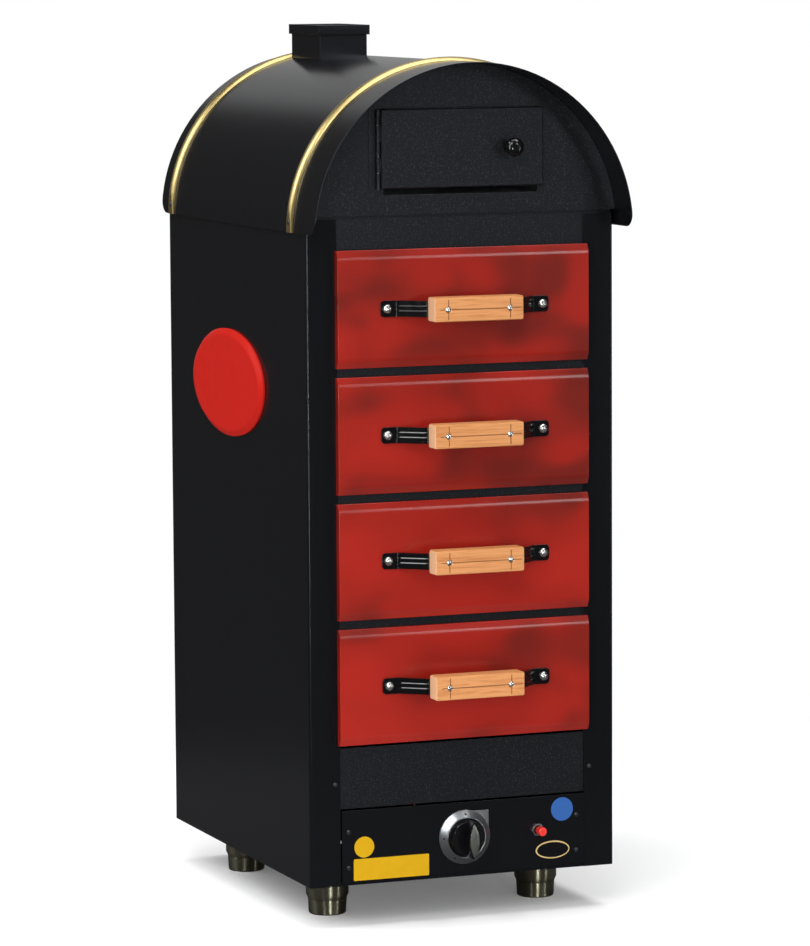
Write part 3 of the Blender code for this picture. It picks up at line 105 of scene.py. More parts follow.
class OvenLook(PropertyGroup):
    """Colours of the main finishes."""
    coat: colour("Powder coat", "#0E0E10", "the casing's coat")
    enamel: colour("Enamel", "#911D13", "the drawer fronts")
    enamel_light: colour("Enamel, light patches", "#9C1F15", "the enamel's lighter patches")
    enamel_dark: colour("Enamel, dark patches", "#6B1911", "the enamel's darker patches")
    brass: colour("Brass", "#C2AF7A", "the hoops")
    wood: colour("Wood", "#CF8F58", "the wooden grips")
    plate: colour("Side plate", "#C0241C", "the oval plate")
    label: colour("Label", "#C69A16", "the yellow plates")


class OvenSizes(PropertyGroup):
    """Sizes of the pieces that the CAD model doesn't hold."""
    plate_length: length("Side plate length", 0.290, "Front-to-back length of the oval plate")
    plate_height: length("Side plate height", 0.151, "Height of the oval plate")
    plate_thickness: length("Side plate thickness", 0.007, "How far the oval plate stands out")
    handle_screw: length("Handle screw", 0.0122, "Diameter of the screws at a handle's ends")
    grip_screw: length("Grip screw", 0.0098, "Diameter of the screws in a wooden grip")
    panel_screw: length("Panel screw", 0.0068, "Diameter of the black screws on the casing")


def look():
    return bpy.context.scene.oven_look


def sizes():
    return bpy.context.scene.oven_sizes


# Materials

def add_node(material, kind, settings=(), links=()):
    """Add a node from its settings and what feeds it, both as (name, value) pairs.

    A socket is fed by an output, or by a node's first output.
    """
    node = material.node_tree.nodes.new(kind)
    for name, value in settings:
        if isinstance(name, str) and hasattr(node, name):
            setattr(node, name, value)
        else:
            node.inputs[name].default_value = value
    for name, source in links:
        if isinstance(source, bpy.types.Node):
            source = source.outputs[0]
        material.node_tree.links.new(source, node.inputs[name])
    return node


def new_material(name, settings):
    """A named material, with the plain settings of its shader."""
    material = bpy.data.materials.new(name)
    material.use_nodes = True
    shader = material.node_tree.nodes["Principled BSDF"]
    for socket, value in settings:
        shader.inputs[socket].default_value = value
    return material


def feed(material, socket, source):
    """Feed one of the shader's sockets from a node's output."""
    shader = material.node_tree.nodes["Principled BSDF"]
    material.node_tree.links.new(source, shader.inputs[socket])


def pattern_space(material, size_mm):
    """Object coordinates scaled so that one unit is the given size along X, Y and Z."""
    place = add_node(material, "ShaderNodeTexCoord")
    scale = tuple(1 / (size * MILLIMETRE) for size in size_mm)
    return add_node(material, "ShaderNodeMapping", [("Scale", scale)],
                    [("Vector", place.outputs["Object"])]).outputs["Vector"]


def even(size):
    """The same size along X, Y and Z."""
    return size, size, size


def mottle(material, size_mm, detail=2.0, roughness=0.5, distortion=0.0):
    """An uneven pattern whose spots have the given size along X, Y and Z."""
    return add_node(material, "ShaderNodeTexNoise",
                    [("Scale", 1.0), ("Detail", detail), ("Roughness", roughness),
                     ("Distortion", distortion)],
                    [("Vector", pattern_space(material, size_mm))]).outputs["Fac"]


def tint(material, ground, *layers):
    """Colour a surface with a ground colour and the colours that patterns bring in over it.

    A layer is a pattern and a colour and, where the colour isn't to follow the pattern evenly,
    the levels at which it starts and is full, and how much of it there then is.
    """
    under = None
    for pattern, colour, *levels in layers:
        if levels:
            start, full, cover = levels
            pattern = add_node(material, "ShaderNodeMapRange",
                               [("interpolation_type", "SMOOTHSTEP"), ("From Min", start),
                                ("From Max", full), ("To Max", cover)],
                               [("Value", pattern)]).outputs["Result"]
        mix = add_node(material, "ShaderNodeMix", [("data_type", "RGBA"), (7, linear(colour))],
                       [("Factor", pattern)])
        if under:
            material.node_tree.links.new(under, mix.inputs[6])
        else:
            mix.inputs[6].default_value = linear(ground)
        under = mix.outputs[2]
    feed(material, "Base Color", under)


def gloss(material, pattern, first, second, low=0.3, high=0.7):
    """Let the roughness go from one value to the other between two levels of a pattern."""
    rough = add_node(material, "ShaderNodeMapRange",
                     [("interpolation_type", "SMOOTHSTEP"), ("From Min", low),
                      ("From Max", high), ("To Min", first), ("To Max", second)],
                     [("Value", pattern)])
    feed(material, "Roughness", rough.outputs["Result"])


def relief(material, pattern, depth_mm, strength):
    """Let a pattern stand out of the surface by a real depth."""
    bump = add_node(material, "ShaderNodeBump",
                    [("Strength", strength), ("Distance", depth_mm * MILLIMETRE)],
                    [("Height", pattern)])
    feed(material, "Normal", bump.outputs["Normal"])


def mottled(name, settings, size_mm, tones=(), rough=(), depth=(), **pattern):
    """A finish whose colour, roughness and relief follow one uneven pattern.

    tones are the ground colour and the layer that the pattern brings in, as tint takes them.
    rough and depth are the values that gloss and relief take.
    """
    material = new_material(name, settings)
    spots = mottle(material, size_mm, **pattern)
    if tones:
        tint(material, tones[0], (spots, *tones[1:]))
    if rough:
        gloss(material, spots, *rough)
    if depth:
        relief(material, spots, *depth)
    return material


METAL = ("Metallic", 1.0)
HARD_GLOSS = ("Specular IOR Level", 0.5)
COAT_SHEEN = ("Specular Tint", linear("#DCE8F6"))  # the coats' gloss is slightly blue

# Finishes that one pattern varies, and whose colours the user doesn't change
MOTTLED = {
    # Pressed steel strap with a thick gloss-black dip coat
    "enamelled_strap": dict(
        name="black strap enamel", settings=[("Base Color", linear("#0A0A0C")), HARD_GLOSS],
        size_mm=even(7), detail=1.0, rough=(0.09, 0.15), depth=(0.08, 0.5)),
    # Walls of the lines cut into a grip, painted darker than the wood: painted shade in the cuts
    "score_line_painted_shade": dict(
        name="scored beech painted shade", settings=[("Roughness", 0.7)], size_mm=even(3),
        tones=("#9A6236", "#B27844")),
    # Chrome plate, polished round, with the faint rings that polishing leaves
    "chrome": dict(
        name="polished chrome", settings=[METAL, ("Base Color", linear("#B4B8BC"))],
        size_mm=even(24), detail=1.0, rough=(0.31, 0.35)),
    # Anodised aluminium foil let into the knob, drawn satin along its length
    "inlay": dict(
        name="satin inlay", settings=[METAL], size_mm=(0.7, 8, 20),
        tones=("#C4CABF", "#A9B0A6"), rough=(0.22, 0.30)),
    # Moulded black phenolic: hard gloss straight from the tool, with faint flow marks
    "phenolic": dict(
        name="moulded phenolic", settings=[("Base Color", linear("#0B0B0D")), HARD_GLOSS],
        size_mm=even(11), distortion=1.0, rough=(0.10, 0.20)),
    # Moulded red ABS of the igniter cap: bright and glossy, with faint flow marks
    "red_plastic": dict(
        name="red cap plastic", settings=[HARD_GLOSS], size_mm=even(5), detail=1.0,
        tones=("#E23A2E", "#CC261E"), rough=(0.22, 0.34)),
    # Sand-cast aluminium, grainy and dull
    "cast_aluminium": dict(
        name="cast aluminium", settings=[METAL, ("Roughness", 0.55)], size_mm=even(1.2),
        detail=3.0, tones=("#9A9B9C", "#7F8081"), depth=(0.15, 0.6)),
    # Bare copper pipe, browned by heat in patches
    "copper": dict(
        name="copper tube", settings=[METAL, ("Roughness", 0.32)], size_mm=even(28), detail=3.0,
        tones=("#C98562", "#7B4A38", 0.35, 0.7, 1)),
    # Zinc-plated steel screw, bright with a faint blue passivation
    "zinc": dict(
        name="zinc screw", settings=[METAL], size_mm=even(3),
        tones=("#ECEEEC", "#D2D8D8"), rough=(0.22, 0.32)),
    # Blackened steel screw, oiled
    "black_screw": dict(
        name="black screw", settings=[HARD_GLOSS, ("Roughness", 0.30)], size_mm=even(2),
        tones=("#1B1B1D", "#303034")),
}


def smooth_coat():
    """Black powder of the smooth kind, stoved hard: even and satin, with a faint orange peel."""
    return mottled("smooth black coat", [("Base Color", linear(look().coat)),
                                         ("Specular IOR Level", 0.35), COAT_SHEEN],
                   even(3), rough=(0.17, 0.21), depth=(0.02, 0.2))


def powder_coat():
    """Fine-textured black polyester powder, stoved: satin, with a grain like fine leather."""
    # The grain of the real coat is about 0.4 mm; it is drawn at 2.2 mm so that it shows.
    return mottled("black powder coat", [("Specular IOR Level", 0.28), COAT_SHEEN],
                   even(2.2), tones=(look().coat, "#38383B", 0.50, 0.80, 1),
                   rough=(0.44, 0.32, 0.3, 0.75), depth=(0.09, 0.4), detail=3.0, roughness=0.6)


def polished_brass():
    """Half-round brass bar, drawn and polished along its length."""
    return mottled("polished brass", [METAL], (14, 1.2, 14),
                   tones=(look().brass, "#AF9A62"), rough=(0.31, 0.38))


def red_enamel():
    """Sprayed and stoved red enamel: deep gloss over slightly cloudy colour."""
    material = new_material("red enamel", [("Roughness", 0.22), HARD_GLOSS])
    clouds = mottle(material, (120, 600, 85), detail=1.0, roughness=0.4, distortion=0.3)
    tint(material, look().enamel, (clouds, look().enamel_light, 0.48, 0.72, 1),
         (clouds, look().enamel_dark, 0.52, 0.30, 1))
    relief(material, mottle(material, even(40), detail=1.0), 0.12, 0.5)
    return material


def galvanised_sheet():
    """Hot-dip galvanised steel: zinc crystals of about 9 mm, each a little lighter or darker."""
    material = new_material("galvanised sheet", [METAL])
    crystals = add_node(material, "ShaderNodeTexVoronoi", [("Scale", 1.0)],
                        [("Vector", pattern_space(material, even(9)))])
    tone = add_node(material, "ShaderNodeSeparateColor", (),
                    [("Color", crystals.outputs["Color"])]).outputs[0]
    tint(material, "#A2A5A6", (tone, "#BFC2C3"))
    gloss(material, tone, 0.34, 0.52, low=0, high=1)
    return material


def oiled_beech():
    """Planed beech with its grain along the grip: long darker bands, fine pores, and a painted
    highlight on its end faces.
    """
    material = new_material("oiled beech", [("Roughness", 0.48), ("Specular IOR Level", 0.35)])
    bands = mottle(material, (90, 6, 4.5), detail=3.0, roughness=0.55, distortion=1.2)
    pores = mottle(material, (7, 0.7, 0.5))
    # The faces that look along X, the grip's two ends, get a painted highlight: they are painted
    # paler as if lit from the side.
    facing = add_node(material, "ShaderNodeSeparateXYZ", (), [
        ("Vector", add_node(material, "ShaderNodeNewGeometry").outputs["True Normal"])])
    painted_lit_ends = add_node(material, "ShaderNodeMath", [("operation", "ABSOLUTE")],
                    [(0, facing.outputs["X"])]).outputs["Value"]
    # The last layer is that painted highlight, a paler colour on the end faces.
    tint(material, look().wood, (bands, "#B8743F", 0.42, 0.72, 1),
         (pores, "#9C5C2E", 0.62, 0.80, 0.55), (painted_lit_ends, "#EDBC92", 0.5, 0.8, 1))
    relief(material, pores, 0.08, 0.4)
    return material


def bronzed_chrome():
    """Turned steel feet, plated in a dark bronze-tinted chrome, with fine turning marks."""
    material = new_material("bronzed chrome", [
        METAL, ("Anisotropic", 0.9), ("Anisotropic Rotation", 0.25)])
    around = add_node(material, "ShaderNodeTangent", [("direction_type", "RADIAL"), ("axis", "Z")])
    feed(material, "Tangent", around.outputs[0])
    marks = mottle(material, (60, 60, 0.8))
    tint(material, "#B8B49A", (marks, "#A39F88"))
    gloss(material, marks, 0.28, 0.34)
    return material


PLATE_SHADE = 0.86  # how dark the mottle under a plate's gloss gets


def plate_finish(name, code, roughness):
    """A bare printed or moulded plate: even colour with a faint mottle under its gloss."""
    material = new_material(name, [("Specular IOR Level", 0.04)])
    spots = mottle(material, even(18))
    shade = [channel * PLATE_SHADE for channel in linear(code)[:3]] + [1]
    mix = add_node(material, "ShaderNodeMix",
                   [("data_type", "RGBA"), (6, linear(code)), (7, shade)], [("Factor", spots)])
    feed(material, "Base Color", mix.outputs[2])
    gloss(material, spots, roughness, roughness + 0.1)
    return material


# The other finishes, by the same short names as above
MAKERS = {
    "black_powder_coat": powder_coat, "smooth_coat": smooth_coat, "red_enamel": red_enamel,
    "galvanised_steel": galvanised_sheet, "brass": polished_brass, "beech": oiled_beech,
    "bronzed_chrome": bronzed_chrome,
}
made = {}


def finish_of(name):
    """The material of a finish, made once."""
    if name not in made:
        made[name] = MAKERS[name]() if name in MAKERS else mottled(**MOTTLED[name])
    return made[name]


slot_of = {part["node"]: part["material_slot"] for part in frame["record"]["subparts"]}
body_of = {node: body for body, nodes in frame["record"]["behaviour"]["bodies"].items()
           for node in nodes}
# Nodes whose black coat is the smooth kind
SMOOTH_NODES = ("left_side_panel", "right_side_panel", "back_panel", "control_panel", "base_pan",
                "roof_shell", "flue_duct", "flue_collar")


# Pieces

def new_object(name, mesh):
    """Turn a bmesh into an object of the scene, and free it."""
    data = bpy.data.meshes.new(name)
    mesh.to_mesh(data)
    mesh.free()
    item = bpy.data.objects.new(name, data)
    bpy.context.scene.collection.objects.link(item)
    return item


def link_piece(name, mesh, finish, body, second=None):
    """Turn a bmesh into a piece that rides on a body, smooth but for its sharp edges."""
    piece = new_object(name, mesh)
    data = piece.data
    for item in (finish, second):
        if item:
            data.materials.append(item if isinstance(item, bpy.types.Material)
                                  else finish_of(item))
    data.shade_smooth()
    data.set_sharp_from_angle(angle=SMOOTH_ANGLE)
    keep_flats(data)
    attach(piece, body)
    return piece


def keep_flats(data):
    """Shade each corner by the faces around it that lie nearly its own way, large ones most."""
    around = [[] for vertex in data.vertices]
    for face in data.polygons:
        for vertex in face.vertices:
            around[vertex].append((face.normal.copy(), face.area))
    normals = []
    for face in data.polygons:
        for vertex in face.vertices:
            normals.append(sum((normal * area for normal, area in around[vertex]
                                if normal.dot(face.normal) > cos(SMOOTH_ANGLE)),
                               Vector()).normalized())
    data.normals_split_custom_set(normals)


def merged(node):
    """A bmesh of a CAD node with its corners joined and its flats made whole."""
    mesh = bmesh.new()
    mesh.from_mesh(frame["nodes"][node].data)
    bmesh.ops.remove_doubles(mesh, verts=mesh.verts, dist=MERGE_DISTANCE)
    bmesh.ops.dissolve_limit(mesh, angle_limit=FLAT_ANGLE, verts=mesh.verts, edges=mesh.edges)
    return mesh


def round_edges(mesh, edges, radius, segments=2):
    bmesh.ops.bevel(mesh, geom=edges, offset=radius, offset_type="OFFSET", segments=segments,
                    profile=ROUND_PROFILE, affect="EDGES", clamp_overlap=True, material=-1)


def sharp_edges(mesh):
    return [edge for edge in mesh.edges
            if len(edge.link_faces) == 2 and edge.calc_face_angle() > SHARP_ANGLE]


def finished(node, radius_mm=0.0, segments=2):
    """Stand a finished copy of a CAD node in its place, with its sharp edges rounded."""
    mesh = merged(node)
    if radius_mm:
        round_edges(mesh, sharp_edges(mesh), radius_mm * MILLIMETRE, segments)
    stand_for(node, mesh)


def stand_for(node, mesh, second=None):
    """Put a finished mesh in a CAD node's place."""
    finish = "smooth_coat" if node in SMOOTH_NODES else slot_of[node]
    piece = link_piece(f"{node}_finished", mesh, finish, body_of[node], second)
    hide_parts(node)


def revolved(profile, steps):
    """A bmesh turned about Z from (radius, height) points that start and end on the axis."""
    mesh = bmesh.new()
    verts = [mesh.verts.new((radius, 0, height)) for radius, height in profile]
    for pair in zip(verts, verts[1:]):
        mesh.edges.new(pair)
    return spun(mesh, steps)


def spun(mesh, steps):
    """Turn an outline once about Z, into a closed shell."""
    bmesh.ops.spin(mesh, geom=mesh.verts[:] + mesh.edges[:], cent=(0, 0, 0), axis=(0, 0, 1),
                   angle=2 * pi, steps=steps, use_merge=True)
    bmesh.ops.remove_doubles(mesh, verts=mesh.verts, dist=MERGE_DISTANCE)
    bmesh.ops.recalc_face_normals(mesh, faces=mesh.faces)
    return mesh


def moved(mesh, matrix):
    """The same mesh, moved and turned by a matrix."""
    bmesh.ops.transform(mesh, matrix=matrix, verts=mesh.verts)
    return mesh


def cut(mesh, cutters):
    """Take the cutter meshes out of a mesh and give back the result."""
    scratch = [new_object("scratch", part) for part in [mesh] + cutters]
    body = scratch[0]
    for tool in scratch[1:]:
        step = body.modifiers.new("cut", "BOOLEAN")
        step.operation = "DIFFERENCE"
        step.solver = "EXACT"
        step.object = tool
    graph = bpy.context.evaluated_depsgraph_get()
    data = bpy.data.meshes.new_from_object(body.evaluated_get(graph))
    result = bmesh.new()
    result.from_mesh(data)
    for item in scratch:
        bpy.data.objects.remove(item, do_unlink=True)
    return result


def box_mesh(low, high):
    mesh = bmesh.new()
    bmesh.ops.create_cube(mesh, size=1)
    size = Vector(high) - Vector(low)
    bmesh.ops.scale(mesh, vec=size, verts=mesh.verts)
    bmesh.ops.translate(mesh, vec=(Vector(low) + Vector(high)) / 2, verts=mesh.verts)
    return mesh


def place_at(mesh, spots):
    """One bmesh with a copy of the mesh at each matrix."""
    data = bpy.data.meshes.new("copies")
    mesh.to_mesh(data)
    mesh.free()
    together = bmesh.new()
    for spot in spots:
        start = len(together.verts)
        together.from_mesh(data)
        together.verts.ensure_lookup_table()
        bmesh.ops.transform(together, matrix=spot, verts=together.verts[start:])
    return together


def towards_front(x, y, z, turn=0.0):
    """Stand a mesh that was made about +Z on a face that looks at the front."""
    return (Matrix.Translation((x, y, z)) @ Matrix.Rotation(pi / 2, 4, "X")
            @ Matrix.Rotation(turn, 4, "Z"))


def towards_side(x, y, z, side):
    return Matrix.Translation((x, y, z)) @ Matrix.Rotation(side * pi / 2, 4, "Y")


DOME_STEPS = 7  # up a screw head's dome
ROUND_STEPS = 28  # round a screw head or a countersink
HEAD_RIM = 0.25  # share of a head's height that its upright rim takes
FOOT_RADIUS, FOOT_HEIGHT = 0.97, 0.4  # its eased foot, as shares of its radius and its rim
RECESS_WIDTH, RECESS_REACH = 0.08, 0.22  # of the cross, as shares of the head's diameter


def screw_head(diameter, height, recess):
    """A domed head with a cross recess, standing on z = 0."""
    radius = diameter / 2
    rim = height * HEAD_RIM
    profile = [(0, 0), (radius * FOOT_RADIUS, 0), (radius, rim * FOOT_HEIGHT), (radius, rim)]
    for step in range(1, DOME_STEPS + 1):
        turn = pi / 2 * step / DOME_STEPS
        profile.append((radius * cos(turn), rim + (height - rim) * sin(turn)))
    head = revolved(profile, ROUND_STEPS)
    width, reach = diameter * RECESS_WIDTH, diameter * RECESS_REACH
    bars = [box_mesh((-reach, -width / 2, height * recess), (reach, width / 2, height * 2)),
            box_mesh((-width / 2, -reach, height * recess), (width / 2, reach, height * 2))]
    return cut(head, bars)


class OVEN_OT_casing(Operator):
    """Coat the casing's panels and round their cut edges"""
    bl_idname = "oven.casing"
    bl_label = "Casing"

    def execute(self, context):
        for node in ("left_side_panel", "right_side_panel", "back_panel", "top_fascia",
                     "access_panel", "crossbar_1", "crossbar_2", "crossbar_3"):
            finished(node, radius_mm=0.3)
        finished("control_panel", radius_mm=0.7, segments=4)
        return {"FINISHED"}


class OVEN_OT_linings(Operator):
    """Base, crown deck and the inner sheet pieces"""
    bl_idname = "oven.linings"
    bl_label = "Linings"

    def execute(self, context):
        for node in ("base_pan", "crown_deck", "left_runner_rack", "right_runner_rack",
                     "back_liner", "heat_deck", "warming_liner"):
            finished(node)
        return {"FINISHED"}


class OVEN_OT_roof(Operator):
    """Barrel roof, gables, brass hoops and flue"""
    bl_idname = "oven.roof"
    bl_label = "Roof"

    def execute(self, context):
        self.sheet()
        finished("front_gable", radius_mm=0.25)
        finished("rear_gable", radius_mm=0.35)
        for node in ("front_hoop", "rear_hoop"):
            self.hoop(node)
        for node in ("flue_duct", "flue_collar"):
            finished(node, radius_mm=0.7, segments=3)
        return {"FINISHED"}

    SHEET_ROUND = 0.00068  # radius on the roof sheet's outer edges
    FLUE_EDGE = 0.003  # the roof's cut edge lies this near to the flue

    def sheet(self):
        """The roof sheet with rounded outer edges; the edge round the flue stays as cut."""
        mesh = merged("roof_shell")
        low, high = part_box("flue_duct")
        outer = [edge for edge in sharp_edges(mesh)
                 if not all(low.x - self.FLUE_EDGE < vert.co.x < high.x + self.FLUE_EDGE
                            and low.y - self.FLUE_EDGE < vert.co.y < high.y + self.FLUE_EDGE
                            for vert in edge.verts)]
        round_edges(mesh, outer, self.SHEET_ROUND, segments=4)
        stand_for("roof_shell", mesh)

    HOOP_RISE = 0.0050  # how far a hoop stands out of the roof sheet
    HOOP_STEPS = 96  # along a hoop
    HOOP_SECTION_STEPS = 12  # across it
    HOOP_FLAT = 0.0012  # how far its ends are filed down for the screw heads

    def hoop(self, node):
        """A domed brass bar bent over the roof, filed flat at both ends."""
        low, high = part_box(node)
        width = high.y - low.y
        foot = roof_high.x + SEAT
        centre = roof_high.z - roof_high.x
        bend = (width * width / 4 + self.HOOP_RISE ** 2) / (2 * self.HOOP_RISE)
        reach = asin(width / 2 / bend)
        start = asin((low.z - centre) / foot)
        mesh = bmesh.new()
        verts = []
        for step in range(self.HOOP_SECTION_STEPS + 1):
            tilt = reach * (2 * step / self.HOOP_SECTION_STEPS - 1)
            rise = bend * cos(tilt) - bend + self.HOOP_RISE
            verts.append(mesh.verts.new((foot + rise, (low.y + high.y) / 2 + bend * sin(tilt),
                                         centre)))
        section = mesh.faces.new(verts)
        bmesh.ops.rotate(mesh, cent=(0, 0, centre), verts=mesh.verts,
                         matrix=Matrix.Rotation(-start, 3, "Y"))
        bmesh.ops.spin(mesh, geom=[section], cent=(0, 0, centre), axis=(0, -1, 0),
                       angle=pi - 2 * start, steps=self.HOOP_STEPS)
        limit = high.x - self.HOOP_FLAT
        for vert in mesh.verts:
            vert.co.x = max(-limit, min(limit, vert.co.x))
        bmesh.ops.recalc_face_normals(mesh, faces=mesh.faces)
        stand_for(node, mesh)


class OVEN_OT_warming_door(Operator):
    """Door of the warming compartment, its knob and its hinge pin"""
    bl_idname = "oven.warming_door"
    bl_label = "Warming door"

    def execute(self, context):
        finished("warming_door", radius_mm=0.25)
        finished("warming_door_knob")
        finished("hinge_pin")
        return {"FINISHED"}


class OVEN_OT_drawers(Operator):
    """Enamelled fronts and galvanised trays of the drawers"""
    bl_idname = "oven.drawers"
    bl_label = "Drawers"

    def execute(self, context):
        for number in (1, 2, 3, 4):
            self.front(f"drawer_{number}_front")
            finished(f"drawer_{number}_tray", radius_mm=0.3)
        return {"FINISHED"}

    CREASE = 0.0034  # radius of the pressed crease under each sloping band
    CREASE_STEPS = 7
    CREASE_BEND = radians(12)  # long level edges that bend more than this are creases
    FRONT_EDGE = 0.0006  # radius on a front's cut edges

    def front(self, node):
        """A front whose cut edges are eased and whose two long creases are rounded."""
        mesh = merged(node)
        round_edges(mesh, sharp_edges(mesh), self.FRONT_EDGE, segments=3)
        low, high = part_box(node)
        creases = [edge for edge in mesh.edges
                   if len(edge.link_faces) == 2 and edge.calc_face_angle() > self.CREASE_BEND
                   and abs(edge.verts[0].co.z - edge.verts[1].co.z) < PLATE_GAP
                   and edge.calc_length() > (high.x - low.x) / 2
                   and edge.verts[0].co.y < low.y + PLATE_GAP]
        round_edges(mesh, creases, self.CREASE, self.CREASE_STEPS)
        stand_for(node, mesh)


class OVEN_OT_handles(Operator):
    """Strap handles, wooden grips and their screws"""
    bl_idname = "oven.handles"
    bl_label = "Handles"

    SCORE = 0.0014  # width and depth of the marking-out lines
    SCREW_SPAN = 0.228  # between the screws at a handle's ends
    GRIP_SCREW_SPAN = 0.090  # between the screws in a grip
    SINK = 0.0021  # depth of the countersinks in a grip
    SINK_FLOOR, SINK_MOUTH = 0.42, 0.54  # their radii, as shares of the screw's diameter
    GRIP_HEAD = 0.82  # share of that diameter which the head shows
    LINE_START, LINE_END = 0.008, 0.004  # the level line stops this far from the grip's ends
    UPRIGHT_HALF = 0.0135  # half the length of an upright line
    PAD_PROUD = 0.0028  # the strap's pads before the drawer's front
    SCREW_HEIGHT = 0.0042  # of the heads at a handle's ends

    def execute(self, context):
        for number in (1, 2, 3, 4):
            finished(f"drawer_{number}_handle_strap", radius_mm=0.35)
            self.grip(number)
            self.screws(number)
        return {"FINISHED"}

    def grip(self, number):
        node = f"drawer_{number}_wood_grip"
        low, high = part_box(node)
        middle = (low + high) / 2
        half = self.SCORE / 2
        face = low.y + self.SCORE
        lines = [box_mesh((low.x + self.LINE_START, low.y - self.SCORE, middle.z - half),
                          (high.x - self.LINE_END, face, middle.z + half))]
        screw_x = [middle.x + side * self.GRIP_SCREW_SPAN / 2 for side in (-1, 1)]
        for x in screw_x:
            lines.append(box_mesh((x - half, low.y - self.SCORE, middle.z - self.UPRIGHT_HALF),
                                  (x + half, face, middle.z + self.UPRIGHT_HALF)))
            sink = revolved([(0, 0), (sizes().grip_screw * self.SINK_FLOOR, 0),
                             (sizes().grip_screw * self.SINK_MOUTH, self.SINK * 2),
                             (0, self.SINK * 2)], ROUND_STEPS)
            lines.append(moved(sink, towards_front(x, low.y + self.SINK, middle.z)))
        mesh = cut(merged(node), lines)
        # The walls of the cut lines take the second finish, whose darker colour is painted shade
        # in the cuts.
        for wall in mesh.faces:
            corners = [vert.co for vert in wall.verts]
            level = all(abs(spot.z - middle.z) < half + PLATE_GAP for spot in corners)
            upright = any(all(abs(spot.x - x) < half + PLATE_GAP for spot in corners)
                          for x in screw_x)
            depth = wall.calc_center_median().y
            if (level or upright) and low.y + PLATE_GAP < depth < face + PLATE_GAP:
                wall.material_index = 1
        stand_for(node, mesh, "score_line_painted_shade")

    def screws(self, number):
        body = f"drawer_{number}"
        low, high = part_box(f"{body}_handle_strap")
        x, z = (low.x + high.x) / 2, (low.z + high.z) / 2
        pad_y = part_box(f"{body}_front")[0].y - self.PAD_PROUD - PLATE_GAP
        sink_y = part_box(f"{body}_wood_grip")[0].y + self.SINK
        spots = [towards_front(x + side * self.SCREW_SPAN / 2, pad_y, z,
                               turn=0.4 * number + side) for side in (-1, 1)]
        mesh = place_at(screw_head(sizes().handle_screw, self.SCREW_HEIGHT, recess=0.55), spots)
        link_piece(f"{body}_handle_screws", mesh, "zinc", body)
        spots = [towards_front(x + side * self.GRIP_SCREW_SPAN / 2, sink_y, z,
                               turn=0.7 * number - side) for side in (-1, 1)]
        head = screw_head(sizes().grip_screw * self.GRIP_HEAD, self.SINK, recess=0.40)
        mesh = place_at(head, spots)
        link_piece(f"{body}_grip_screws", mesh, "zinc", body)


